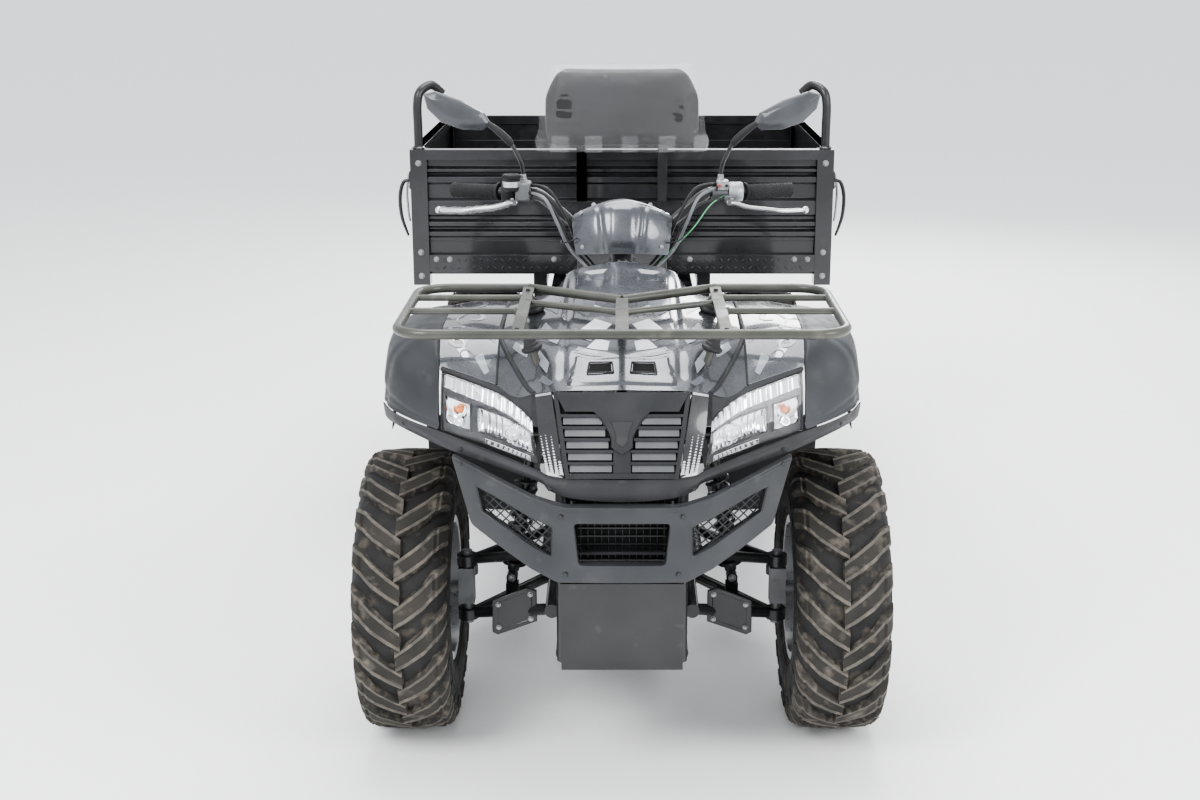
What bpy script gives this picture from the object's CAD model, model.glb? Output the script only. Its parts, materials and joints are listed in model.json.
"""Quad bike with a cargo bed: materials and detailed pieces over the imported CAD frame."""
import json
import math
import random

import bmesh
import bpy
from mathutils import Matrix, Vector


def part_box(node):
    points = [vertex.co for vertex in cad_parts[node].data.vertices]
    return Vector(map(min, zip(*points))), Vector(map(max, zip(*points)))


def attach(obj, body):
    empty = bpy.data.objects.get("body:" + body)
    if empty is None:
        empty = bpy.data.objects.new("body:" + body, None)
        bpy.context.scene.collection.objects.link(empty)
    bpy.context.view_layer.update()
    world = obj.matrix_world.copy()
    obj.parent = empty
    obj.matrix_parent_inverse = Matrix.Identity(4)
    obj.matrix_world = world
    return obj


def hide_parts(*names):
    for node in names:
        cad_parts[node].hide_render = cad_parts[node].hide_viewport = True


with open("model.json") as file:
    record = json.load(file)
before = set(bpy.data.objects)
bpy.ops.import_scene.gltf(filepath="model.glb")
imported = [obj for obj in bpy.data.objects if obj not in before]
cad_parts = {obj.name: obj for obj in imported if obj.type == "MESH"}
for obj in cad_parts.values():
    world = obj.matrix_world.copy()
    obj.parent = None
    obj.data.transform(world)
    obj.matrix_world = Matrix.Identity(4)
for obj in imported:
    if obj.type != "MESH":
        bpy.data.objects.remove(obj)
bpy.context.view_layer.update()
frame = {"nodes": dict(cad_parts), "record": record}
nodes = frame["nodes"]
MM = 0.001


def middle(node):
    lo, hi = (Vector(v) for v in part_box(node))
    return (lo + hi) / 2


AXLE = middle("front_tyre_left")
REAR = middle("rear_tyre_left")
RADIUS = (Vector(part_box("front_tyre_left")[1]) - Vector(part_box("front_tyre_left")[0])).z / 2


def at(x, y, z):
    """A point from millimetres: x from the centre plane, y behind the front axle, z up."""
    return Vector((x * MM, AXLE.y + y * MM, z * MM))


# --- Materials -------------------------------------------------------------
def material(name, colour, colour2=None, rough=0.5, rough2=None, metal=0.0, coat=0.0, bump=0.1,
             grain=400.0, cloud=9.0, dust=None, dust_amount=0.0, spec=0.5, sheen=0.0, stretch=None,
             emit=None, alpha=1.0, glass=0.0, ior=1.45, flakes=0.0):
    """A shader whose colour, roughness and surface all vary over the piece."""
    mat = bpy.data.materials.new(name)
    mat.use_nodes = True
    tree = mat.node_tree
    shader = tree.nodes["Principled BSDF"]
    add, link = tree.nodes.new, tree.links.new
    shader.inputs["Metallic"].default_value = metal
    shader.inputs["Coat Weight"].default_value = coat
    shader.inputs["Coat Roughness"].default_value = 0.06
    shader.inputs["Specular IOR Level"].default_value = spec
    shader.inputs["Sheen Weight"].default_value = sheen
    shader.inputs["Transmission Weight"].default_value = glass
    shader.inputs["IOR"].default_value = ior
    shader.inputs["Alpha"].default_value = alpha
    if emit:
        shader.inputs["Emission Color"].default_value = (*emit, 1)
        shader.inputs["Emission Strength"].default_value = 0.4
    coord = add("ShaderNodeTexCoord")
    place = add("ShaderNodeMapping")
    link(coord.outputs["Object"], place.inputs["Vector"])
    if stretch:
        place.inputs["Scale"].default_value = stretch

    def noise(scale, detail=3.0):
        n = add("ShaderNodeTexNoise")
        n.inputs["Scale"].default_value = scale
        n.inputs["Detail"].default_value = detail
        link(place.outputs["Vector"], n.inputs["Vector"])
        return n.outputs["Fac"]

    def ramp(source, low, high, a, b):
        r = add("ShaderNodeMapRange")
        for key, value in (("From Min", low), ("From Max", high), ("To Min", a), ("To Max", b)):
            r.inputs[key].default_value = value
        link(source, r.inputs["Value"])
        return r.outputs["Result"]

    def mix(factor, a, b):
        m = add("ShaderNodeMix")
        m.data_type = "RGBA"
        link(factor, m.inputs["Factor"])
        for socket, value in ((m.inputs[6], a), (m.inputs[7], b)):
            if isinstance(value, tuple):
                socket.default_value = (*value, 1)
            else:
                link(value, socket)
        return m.outputs[2]

    second = colour2 or tuple(min(1, c * 1.6 + 0.004) for c in colour)
    shade = mix(ramp(noise(cloud), 0.35, 0.68, 0, 1), colour, second)
    if flakes:
        shade = mix(ramp(noise(1400, 1), 0.62, 0.74, 0, flakes), shade, (0.5, 0.52, 0.56))
    if dust:
        shade = mix(ramp(noise(cloud * 2.7, 6), 0.62 - 0.3 * dust_amount, 0.8, 0, 1), shade, dust)
    link(shade, shader.inputs["Base Color"])
    link(ramp(noise(cloud * 4, 5), 0.3, 0.7, rough, rough2 or min(1, rough * 1.35 + 0.03)),
         shader.inputs["Roughness"])
    if bump:
        b = add("ShaderNodeBump")
        b.inputs["Strength"].default_value = bump
        b.inputs["Distance"].default_value = 0.001
        link(noise(grain, 4), b.inputs["Height"])
        link(b.outputs["Normal"], shader.inputs["Normal"])
    return mat


DUST = (0.17, 0.15, 0.125)
M = {
    "gloss": material("gloss_panel", (0.052, 0.056, 0.064), (0.085, 0.09, 0.1), rough=0.22, metal=0.55,
                      coat=1.0, bump=0.03, grain=60, flakes=0.5),
    "gloss_black": material("gloss_black", (0.012, 0.012, 0.014), rough=0.2, coat=1.0, bump=0.03, grain=80),
    "silver_panel": material("silver_panel", (0.42, 0.44, 0.46), (0.6, 0.62, 0.64), rough=0.25,
                             metal=0.6, coat=1.0, bump=0.02, grain=60, flakes=0.5),
    "white": material("white_graphic", (0.66, 0.68, 0.7), (0.8, 0.82, 0.84), rough=0.3, coat=0.8, bump=0.02),
    "grey": material("grey_graphic", (0.22, 0.235, 0.26), (0.34, 0.36, 0.39), rough=0.3, coat=0.8, bump=0.02),
    "dark_grey": material("dark_graphic", (0.09, 0.1, 0.115), (0.13, 0.14, 0.16), rough=0.3, coat=0.8,
                          bump=0.02),
    "matte": material("matte_plastic", (0.021, 0.022, 0.024), (0.036, 0.037, 0.04), rough=0.46, bump=0.35,
                      grain=900, dust=(0.05, 0.049, 0.046), dust_amount=0.02),
    "flare": material("flare_plastic", (0.026, 0.028, 0.031), (0.042, 0.045, 0.05), rough=0.4, bump=0.3,
                      grain=900, dust=(0.055, 0.056, 0.056), dust_amount=0.04),
    "bumper": material("bumper_plastic", (0.028, 0.03, 0.033), (0.044, 0.046, 0.05), rough=0.4, bump=0.35,
                       grain=1000, dust=(0.06, 0.061, 0.061), dust_amount=0.05),
    "grille": material("grille_plastic", (0.018, 0.019, 0.021), (0.03, 0.031, 0.034), rough=0.42, bump=0.25,
                       grain=900),
    "slat": material("slat_plastic", (0.1, 0.103, 0.108), (0.15, 0.153, 0.158), rough=0.45, bump=0.25,
                     grain=900),
    "hole": material("dark_recess", (0.003, 0.003, 0.003), rough=0.85, bump=0.1),
    "steel_black": material("painted_steel", (0.012, 0.012, 0.013), (0.024, 0.024, 0.025), rough=0.34,
                            bump=0.18, grain=260, coat=0.35, dust=(0.05, 0.048, 0.044), dust_amount=0.0),
    "bed": material("bed_paint", (0.009, 0.009, 0.0105), (0.02, 0.02, 0.023), rough=0.27, bump=0.12,
                    grain=140, coat=0.7, dust=(0.03, 0.03, 0.031), dust_amount=0.0),
    "rack": material("rack_paint", (0.05, 0.052, 0.044), (0.085, 0.086, 0.074), rough=0.36, metal=0.3,
                     bump=0.2, grain=300, coat=0.3, dust=(0.12, 0.115, 0.1), dust_amount=0.04),
    "chrome": material("reflector_chrome", (0.9, 0.91, 0.92), (0.97, 0.97, 0.98), rough=0.07, rough2=0.14,
                       metal=1.0, bump=0.25, grain=70, stretch=(7, 1, 1)),
    "chrome_bright": material("reflector_bright", (0.85, 0.87, 0.9), (1, 1, 1), rough=0.12, rough2=0.25,
                              metal=0.7, bump=0.3, grain=30, stretch=(9, 1, 1), emit=(0.3, 0.31, 0.33)),
    "lamp_dark": material("lamp_bezel", (0.03, 0.031, 0.034), (0.055, 0.057, 0.06), rough=0.3, coat=0.5,
                          bump=0.08),
    "lens": material("lamp_lens", (1, 1, 1), (0.97, 0.98, 1), rough=0.02, rough2=0.04, bump=0.02, glass=1.0,
                     ior=1.12, coat=0.3),
    "bulb": material("bulb_glass", (1, 1, 1), (0.9, 0.93, 1), rough=0.04, glass=0.7, bump=0.0, ior=1.3,
                     emit=(0.8, 0.85, 0.9)),
    "amber": material("amber_bulb", (0.85, 0.2, 0.04), (0.95, 0.35, 0.1), rough=0.12, coat=1.0, bump=0.05,
                      emit=(0.5, 0.12, 0.03)),
    "red_lens": material("red_lens", (0.35, 0.01, 0.008), (0.55, 0.03, 0.02), rough=0.12, coat=1.0, bump=0.15,
                         grain=500),
    "rubber": material("tyre_wall", (0.014, 0.014, 0.0145), (0.026, 0.025, 0.024), rough=0.62, bump=0.3,
                       grain=500, dust=(0.12, 0.1, 0.078), dust_amount=0.18),
    "groove": material("tread_groove", (0.022, 0.021, 0.019), (0.045, 0.041, 0.035), rough=0.75, bump=0.5,
                       grain=400, dust=DUST, dust_amount=0.25),
    "lug": material("tread_lug", (0.07, 0.065, 0.057), (0.11, 0.1, 0.086), rough=0.66, bump=0.5, grain=420,
                    cloud=22, dust=DUST, dust_amount=0.5),
    "lug_side": material("tread_lug_side", (0.028, 0.027, 0.025), (0.055, 0.05, 0.043), rough=0.7, bump=0.5,
                         grain=400, cloud=22, dust=DUST, dust_amount=0.45),
    "grip": material("grip_rubber", (0.012, 0.012, 0.0125), rough=0.6, bump=0.6, grain=900),
    "soft_rubber": material("rubber_part", (0.014, 0.014, 0.015), rough=0.5, bump=0.25, grain=500),
    "vinyl": material("vinyl", (0.013, 0.013, 0.014), (0.024, 0.024, 0.026), rough=0.42, bump=0.5, grain=700,
                      sheen=0.1),
    "film": material("clear_film", (1, 1, 1), (0.92, 0.94, 0.97), rough=0.08, rough2=0.2, bump=0.6, grain=55,
                     coat=1.0, alpha=0.05, spec=1.0),
    "film_fold": material("film_fold", (0.8, 0.82, 0.85), (1, 1, 1), rough=0.12, rough2=0.3, bump=0.4,
                          grain=80,
                          coat=1.0, alpha=0.12, spec=1.0),
    "alloy": material("bare_aluminium", (0.6, 0.61, 0.62), (0.74, 0.75, 0.76), rough=0.24, metal=1.0,
                      bump=0.1,
                      grain=200),
    "steel": material("bare_steel", (0.28, 0.28, 0.285), (0.42, 0.42, 0.43), rough=0.38, metal=0.9, bump=0.2,
                      grain=240, dust=(0.12, 0.1, 0.08), dust_amount=0.2),
    "cast": material("cast_alloy", (0.16, 0.165, 0.17), (0.25, 0.255, 0.26), rough=0.48, metal=0.7, bump=0.45,
                     grain=420, dust=(0.1, 0.09, 0.07), dust_amount=0.2),
    "switch": material("switch_housing", (0.35, 0.36, 0.37), (0.48, 0.49, 0.5), rough=0.35, metal=0.5,
                       bump=0.15,
                       coat=0.3),
    "pod": material("pod_panel", (0.075, 0.08, 0.09), (0.13, 0.138, 0.15), rough=0.25, metal=0.7, coat=0.9,
                    bump=0.04, grain=70, flakes=0.6),
    "mirror_shell": material("mirror_shell", (0.042, 0.045, 0.05), (0.075, 0.08, 0.09), rough=0.3, bump=0.15,
                             grain=600, coat=0.4),
    "mirror_glass": material("mirror_glass", (0.75, 0.78, 0.8), (0.8, 0.82, 0.85), rough=0.03, rough2=0.05,
                             metal=1.0, bump=0.0),
    "cable": material("cable_sheath", (0.016, 0.016, 0.017), rough=0.4, bump=0.1),
    "cable_grey": material("cable_grey", (0.15, 0.155, 0.165), rough=0.35, bump=0.15, metal=0.3),
    "green": material("green_wire", (0.1, 0.32, 0.16), rough=0.4, bump=0.05),
    "red": material("red_button", (0.5, 0.02, 0.02), rough=0.35, coat=0.5, bump=0.05),
    "exhaust": material("heat_steel", (0.2, 0.18, 0.16), (0.36, 0.33, 0.3), rough=0.35, metal=0.9, bump=0.2,
                        grain=200, cloud=5),
}

NODE_LOOK = {
    "chassis_frame": "steel_black", "engine_block": "cast", "skid_plate": "steel_black",
    "radiator": "hole", "front_rack": "rack", "side_covers": "gloss_black", "footwells": "matte",
    "front_a_arms": "steel_black", "rear_axle": "steel_black", "rear_springs": "steel_black",
    "exhaust": "exhaust", "steering_column": "steel_black", "handlebar": "steel_black",
    "bumper_mesh": "steel_black", "bed_floor": "bed", "side_gate_left": "bed",
    "side_gate_right": "bed", "tailgate": "bed", "knuckle_left": "cast", "knuckle_right": "cast",
    "tie_rod_left": "steel", "tie_rod_right": "steel", "front_rim_left": "alloy",
    "front_rim_right": "alloy", "rear_rim_left": "alloy", "rear_rim_right": "alloy",
}
NODE_SLOT = {s["node"]: s["material_slot"] for s in frame["record"]["subparts"]}


def paint(obj, *keys):
    obj.data.materials.clear()
    for key in keys:
        obj.data.materials.append(M[key])


for node_name, obj in nodes.items():
    paint(obj, NODE_LOOK.get(node_name, "matte"))


# --- Mesh building ---------------------------------------------------------
class Kit:
    """Collects the shapes of one piece."""

    def __init__(self):
        self.verts, self.faces, self.looks, self.keys = [], [], [], []
        self.move = Matrix.Identity(4)

    def look(self, key):
        if key not in self.keys:
            self.keys.append(key)
        return self.keys.index(key)

    def add(self, verts, faces, key):
        base, slot = len(self.verts), self.look(key)
        self.verts += [self.move @ Vector(v) for v in verts]
        for f in faces:
            self.faces.append([base + i for i in f])
            self.looks.append(slot)

    def grid(self, rows, key, wrap=False):
        m, n = len(rows), len(rows[0])
        faces = []
        for i in range(m - 1):
            for j in range(n if wrap else n - 1):
                k = (j + 1) % n
                faces.append([i * n + j, i * n + k, (i + 1) * n + k, (i + 1) * n + j])
        self.add([p for r in rows for p in r], faces, key)

    def tube(self, points, radius, key, sides=12, smooth=0, caps=True, flat=1.0, up=None):
        """A round bar along points. radius may be a list, and smooth is how many steps lie between points."""
        radii = list(radius) if hasattr(radius, "__len__") else [radius] * len(points)
        if smooth:
            path = [along(points, i / smooth) for i in range((len(points) - 1) * smooth + 1)]
            radii = [along([Vector((r, 0, 0)) for r in radii], i / smooth)[0]
                     for i in range((len(points) - 1) * smooth + 1)]
        else:
            path = [Vector(p) for p in points]
        tangent = (path[1] - path[0]).normalized()
        u = Vector(up) if up else (Vector((1, 0, 0)) if abs(tangent.x) < 0.8 else Vector((0, 0, 1)))
        rows = []
        for i, p in enumerate(path):
            tangent = (path[min(i + 1, len(path) - 1)] - path[max(i - 1, 0)]).normalized()
            u = (u - tangent * u.dot(tangent)).normalized()
            v = tangent.cross(u)
            rows.append([p + radii[i] * (math.cos(a) * u + flat * math.sin(a) * v)
                         for a in (2 * math.pi * k / sides for k in range(sides))])
        self.grid(rows, key, wrap=True)
        if caps:
            base = len(self.verts) - len(rows) * sides
            slot = self.look(key)
            self.faces += [[base + k for k in reversed(range(sides))],
                           [base + (len(rows) - 1) * sides + k for k in range(sides)]]
            self.looks += [slot, slot]

    def lathe(self, profile, start, axis, key, sides=48, closed=False):
        """profile holds (along, radius) pairs about the line from start along axis."""
        axis = Vector(axis).normalized()
        u = axis.orthogonal().normalized()
        v = axis.cross(u)
        pts = list(profile) + ([profile[0]] if closed else [])
        self.grid([[Vector(start) + a * axis + r * (math.cos(t) * u + math.sin(t) * v)
                    for t in (2 * math.pi * k / sides for k in range(sides))] for a, r in pts],
                  key, wrap=True)

    def prism(self, outline, depth, key):
        """A closed slab from a flat outline of points, pushed along depth."""
        n = len(outline)
        lower = [Vector(p) for p in outline]
        faces = [list(reversed(range(n))), list(range(n, 2 * n))]
        faces += [[k, (k + 1) % n, n + (k + 1) % n, n + k] for k in range(n)]
        self.add(lower + [p + Vector(depth) for p in lower], faces, key)

    def block(self, a, b, key):
        (x0, y0, z0), (x1, y1, z1) = a, b
        self.prism([(x0, y0, z0), (x1, y0, z0), (x1, y1, z0), (x0, y1, z0)], (0, 0, z1 - z0), key)

    def mirrored(self):
        """Repeats everything so far on the other side of the centre plane."""
        n, f = len(self.verts), len(self.faces)
        self.verts += [Vector((-v.x, v.y, v.z)) for v in self.verts]
        self.faces += [[n + i for i in reversed(face)] for face in self.faces[:f]]
        self.looks += self.looks[:f]

    def make(self, name, body, *replaced, bevel=0.0, segments=2, smooth=35, weld=True, slot=None, subdiv=0):
        mesh = bpy.data.meshes.new(name)
        mesh.from_pydata([tuple(v) for v in self.verts], [], self.faces)
        for key in self.keys:
            mesh.materials.append(M[key])
        mesh.polygons.foreach_set("material_index", self.looks)
        bm = bmesh.new()
        bm.from_mesh(mesh)
        if weld:
            bmesh.ops.remove_doubles(bm, verts=bm.verts, dist=1e-6)
        bmesh.ops.recalc_face_normals(bm, faces=bm.faces)
        bm.to_mesh(mesh)
        bm.free()
        obj = bpy.data.objects.new(name, mesh)
        bpy.context.collection.objects.link(obj)
        if bevel:
            mod = obj.modifiers.new("edges", "BEVEL")
            mod.width, mod.segments = bevel, segments
            mod.limit_method, mod.angle_limit = "ANGLE", math.radians(38)
            mod.harden_normals = False
        if subdiv:
            obj.modifiers.new("smooth", "SUBSURF").levels = subdiv
            obj.modifiers["smooth"].render_levels = subdiv
        mesh.shade_smooth()
        mesh.set_sharp_from_angle(angle=math.radians(smooth))
        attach(obj, body)
        if replaced:
            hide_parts(*replaced)
        return obj


def near(points, i):
    return points[max(0, min(len(points) - 1, i))]


def along(points, s):
    """The point a share s, in steps, along a smooth curve through points."""
    i = min(int(math.floor(s)), len(points) - 2)
    t = s - i
    a, b, c, d = near(points, i - 1), points[i], points[i + 1], near(points, i + 2)
    a, b, c, d = (Vector(p) for p in (a, b, c, d))
    return 0.5 * (2 * b + (c - a) * t + (2 * a - 5 * b + 4 * c - d) * t * t
                  + (3 * b - a - 3 * c + d) * t * t * t)


def net_point(rows, u, v):
    """The point of a net at row u and column v, both in steps."""
    return along([along([Vector(p) for p in column], u) for column in zip(*rows)], v)


def both(rows):
    return [[(-p[0], p[1], p[2]) for p in reversed(r[1:])] + list(r) for r in rows]


def inward(p):
    x = max(-200, min(200, p[0])) - p[0]
    return Vector((x, 50 - p[1], 600 - p[2])).normalized()


def net_normal(rows, u, v):
    du = net_point(rows, min(u + 0.02, len(rows) - 1), v) - net_point(rows, max(u - 0.02, 0), v)
    dv = net_point(rows, u, min(v + 0.02, len(rows[0]) - 1)) - net_point(rows, u, max(v - 0.02, 0))
    n = du.cross(dv).normalized()
    return n if n.dot(inward(net_point(rows, u, v))) < 0 else -n


def panel(kit, rows, nu, nv, key, thick=4.0, shape=None):
    """A moulded panel through a net: shape(u, v, point) may move a point, in millimetres."""
    m, n = len(rows) - 1, len(rows[0]) - 1
    outer = []
    for i in range(nu + 1):
        row = []
        for j in range(nv + 1):
            u, v = i * m / nu, j * n / nv
            p = net_point(rows, u, v)
            row.append(shape(u, v, p) if shape else p)
        outer.append(row)
    inner = [[p + thick * inward(p) for p in r] for r in outer]
    loop = ([(0, j) for j in range(nv)] + [(i, nv) for i in range(nu)]
            + [(nu, j) for j in range(nv, 0, -1)] + [(i, 0) for i in range(nu, 0, -1)])
    kit.grid([[at(*p) for p in r] for r in outer], key)
    kit.grid([[at(*p) for p in r] for r in inner], key)
    rim = [outer[i][j] for i, j in loop], [inner[i][j] for i, j in loop]
    kit.grid([[at(*p) for p in r] for r in rim], key, wrap=True)
    return outer


def decal(kit, rows, outline, key, lift=0.5, steps=7):
    """A graphic on a net, from a four-sided outline of (row, column) corners."""
    a, b, c, d = (Vector((*p, 0)) for p in outline)
    grid = []
    for i in range(steps + 1):
        left, right = a.lerp(d, i / steps), b.lerp(c, i / steps)
        row = []
        for j in range(steps + 1):
            q = left.lerp(right, j / steps)
            row.append(at(*(net_point(rows, q.x, q.y) + lift * net_normal(rows, q.x, q.y))))
        grid.append(row)
    kit.grid(grid, key)


def ribbon(kit, rows, path, width, key, lift=0.5, steps=6):
    """A strip along a (row, column) path on a net. width is one number, or one for each point."""
    pts = [along([Vector((*p, 0)) for p in path], i / steps) for i in range((len(path) - 1) * steps + 1)]
    widths = list(width) if hasattr(width, "__len__") else [width] * len(path)
    grid = []
    for i, q in enumerate(pts):
        here = net_point(rows, q.x, q.y)
        a, b = pts[max(i - 1, 0)], pts[min(i + 1, len(pts) - 1)]
        t = (net_point(rows, b.x, b.y) - net_point(rows, a.x, a.y)).normalized()
        n = net_normal(rows, q.x, q.y)
        w = along([Vector((x, 0, 0)) for x in widths], i / steps)[0] / 2
        s = t.cross(n).normalized() * w
        grid.append([at(*(here + s + lift * n)), at(*(here + lift * 1.6 * n)), at(*(here - s + lift * n))])
    kit.grid(grid, key)


def bolt(kit, place, axis, radius, key="steel", head=0.6):
    """A hexagon bolt on a washer."""
    axis = Vector(axis).normalized()
    kit.lathe([(0, 0), (0, radius * 1.35), (radius * 0.22, radius * 1.3), (radius * 0.22, 0)], place, axis,
              key, sides=20)
    kit.lathe([(0, radius), (radius * (head + 0.1), radius), (radius * (head + 0.25), radius * 0.8),
               (radius * (head + 0.25), 0)], Vector(place) + axis * radius * 0.2, axis, key, sides=6)


# --- Front body ------------------------------------------------------------
SEAM = 0.4
HOOD = [
    [(0, -385, 884), (60, -384, 884), (112, -378, 882), (140, -368, 878), (174, -348, 868),
     (215, -314, 852), (256 - SEAM, -272, 866)],
    [(0, -345, 903), (60, -341, 901), (112, -332, 897), (150, -320, 892), (180, -302, 882),
     (215, -280, 874), (256 - SEAM, -238, 892)],
    [(0, -290, 925), (60, -285, 923), (104, -275, 928), (150, -265, 922), (180, -252, 912),
     (215, -240, 908), (256 - SEAM, -190, 925)],
    [(0, -220, 945), (60, -218, 944), (108, -212, 945), (150, -205, 940), (185, -200, 938),
     (220, -190, 936), (256 - SEAM, -150, 940)],
    [(0, -120, 962), (60, -120, 962), (112, -118, 961), (150, -116, 955), (190, -112, 950),
     (222, -102, 948), (256 - SEAM, -90, 945)],
    [(0, 0, 975), (60, 0, 974), (116, 0, 972), (150, 0, 966), (190, 0, 958), (222, 0, 953),
     (256 - SEAM, 0, 950)],
    [(0, 110, 992), (60, 110, 991), (120, 110, 986), (148, 114, 972), (190, 118, 960),
     (222, 120, 955), (256 - SEAM, 120, 950)],
    [(0, 180, 1006), (60, 181, 1003), (122, 185, 996), (146, 190, 975), (190, 205, 952),
     (222, 215, 943), (256 - SEAM, 220, 935)],
    [(0, 240, 1025), (60, 236, 1019), (118, 225, 1006), (144, 232, 972), (188, 245, 930),
     (222, 252, 905), (256 - SEAM, 262, 885)]]
FENDER = [
    [(256, -272, 866), (315, -248, 880), (376, -225, 895)],
    [(256, -238, 892), (315, -215, 905), (379, -190, 918)],
    [(256, -190, 925), (315, -165, 936), (381, -150, 942)],
    [(256, -150, 940), (318, -130, 948), (381, -120, 946)],
    [(256, -90, 945), (320, -90, 952), (381, -90, 948)],
    [(256, 0, 950), (320, 0, 955), (381, 0, 950)],
    [(256, 120, 950), (320, 120, 952), (381, 120, 945)],
    [(256, 220, 935), (320, 220, 935), (381, 220, 925)],
    [(256, 262, 885), (320, 275, 880), (381, 290, 868)]]
FX = 381 + 2 * SEAM
FLARE = [
    [(376 + 2 * SEAM, -225, 895), (378, -238, 862), (378, -248, 822), (378, -254, 790), (378, -258, 768)],
    [(379 + 2 * SEAM, -190, 918), (412, -200, 893), (430, -210, 850), (436, -214, 805), (438, -214, 778)],
    [(FX, -150, 942), (430, -160, 925), (468, -168, 888), (482, -168, 830), (486, -163, 786)],
    [(FX, -120, 946), (436, -126, 934), (480, -132, 898), (498, -132, 838), (499, -128, 790)],
    [(FX, -90, 948), (440, -94, 938), (490, -98, 905), (508, -98, 845), (508, -96, 790)],
    [(FX, 0, 950), (445, 0, 942), (500, 0, 912), (516, 0, 850), (516, 0, 792)],
    [(FX, 120, 945), (445, 125, 936), (500, 130, 905), (520, 135, 840), (522, 135, 778)],
    [(FX, 220, 925), (440, 235, 912), (500, 245, 872), (528, 255, 800), (535, 262, 732)],
    [(FX, 290, 868), (440, 305, 852), (505, 315, 808), (538, 322, 738), (550, 324, 662)],
    [(FX, 335, 790), (440, 343, 774), (510, 350, 732), (548, 352, 665), (559, 347, 592)]]
FASCIA = [
    [(0, -424, 712), (60, -423, 713), (112, -418, 714), (148, -404, 716), (170, -386, 722),
     (262, -326, 741), (372, -258, 763), (438, -217, 774), (486, -167, 782), (512, -110, 786)],
    [(0, -432, 690), (60, -431, 692), (112, -426, 696), (148, -414, 703), (170, -398, 711),
     (262, -338, 728), (368, -270, 747), (438, -214, 757), (492, -150, 764), (512, -100, 768)],
    [(0, -430, 668), (60, -430, 671), (112, -425, 677), (146, -414, 688), (166, -398, 700),
     (260, -340, 716), (353, -280, 730), (430, -202, 739), (490, -130, 746), (510, -95, 750)]]
BROW = [
    [(180, -343, 862), (215, -314, 851), (256, -272, 865), (315, -248, 879), (374, -226, 893)],
    [(181, -333, 811), (207, -313, 831), (250, -284, 852), (311, -254, 869), (374, -230, 886)]]
LENS = [
    [(181, -334, 807), (206, -315, 828), (249, -286, 850), (310, -257, 867), (371, -234, 883)],
    [(178, -352, 782), (206, -334, 796), (250, -308, 810), (312, -276, 822), (373, -248, 836)],
    [(174, -363, 755), (206, -344, 764), (250, -320, 776), (312, -288, 789), (373, -256, 803)],
    [(167, -372, 727), (204, -350, 734), (248, -324, 743), (310, -290, 755), (372, -262, 768)]]
STRIP = [
    [(140, -369, 877), (173, -349, 866)],
    [(127, -398, 795), (165, -380, 792)],
    [(115, -418, 714.6), (149, -404, 716.8)]]
TANK = [
    [(0, 370, 985), (70, 370, 980), (118, 370, 955), (140, 370, 890), (150, 370, 800)],
    [(0, 450, 985), (75, 450, 978), (125, 450, 948), (150, 450, 880), (160, 450, 790)],
    [(0, 570, 950), (70, 570, 945), (122, 570, 920), (152, 570, 860), (165, 570, 780)],
    [(0, 699, 905), (70, 699, 900), (122, 699, 880), (150, 699, 840), (165, 699, 780)]]
POD = [
    [(0, 256, 1044), (60, 266, 1042), (108, 288, 1036)],
    [(0, 260, 1092), (62, 272, 1089), (114, 300, 1082)],
    [(0, 284, 1142), (60, 292, 1133), (116, 320, 1116)],
    [(0, 320, 1157), (55, 324, 1146), (96, 345, 1128)],
    [(0, 392, 1150), (52, 392, 1140), (88, 394, 1120)]]


def step(value, low, high):
    t = max(0.0, min(1.0, (value - low) / (high - low)))
    return t * t * (3 - 2 * t)


def hood_shape(u, v, p):
    """Raises the nose's middle panel, creases the centre line and sinks the rear recesses."""
    x = abs(p.x)
    q = p.copy()
    half = 106 - 14 * step(u, 0.5, 2)
    nose = step(u, 0.42, 0.58) * (1 - step(u, 1.86, 2.02)) * (1 - step(x, half - 3, half + 3))
    q.z += 5.0 * nose
    q.y -= 2.0 * nose
    q.z += 3.2 * (1 - min(1, x / 46)) * (0.5 + 0.5 * step(u, 5, 7)) * (1 - step(u, 7.9, 8))
    # Recesses in the rear of the hood
    rear = step(u, 6.6, 6.8) * (1 - step(u, 7.3, 7.45)) * step(x, 34, 40) * (1 - step(x, 74, 84))
    q.z -= 3.0 * rear
    # A trough beside the middle panel
    q.z -= 3.5 * math.exp(-((x - 118) / 7) ** 2) * step(u, 0.6, 1.4) * (1 - step(u, 6.5, 8))
    return q


hood = Kit()
HOOD_ALL = both(HOOD)
panel(hood, HOOD_ALL, 132, 150, "gloss", shape=hood_shape)
hood.make("hood_shell", "chassis", "hood", bevel=0.0012, smooth=28)

trim = Kit()
path = [(0, 4.05), (0.9, 4.5), (2, 5.45), (3, 6.0)]
pts = [at(*(net_point(HOOD, u, v) + Vector((0, 0, 1)))) for u, v in path]
pts += [at(*(net_point(FENDER, u, 0) + Vector((0, 0, 1)))) for u in (4, 5, 6, 7, 8)]
trim.tube(pts, [0.0052] * 5 + [0.0045, 0.004, 0.0036, 0.003], "matte", sides=10, smooth=6)
trim.tube([at(*(net_point(HOOD, u, 6) + Vector((0, 0, 0.6)))) for u in (0, 1, 2, 3)], 0.0022, "matte",
          sides=8,
          smooth=6)
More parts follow.
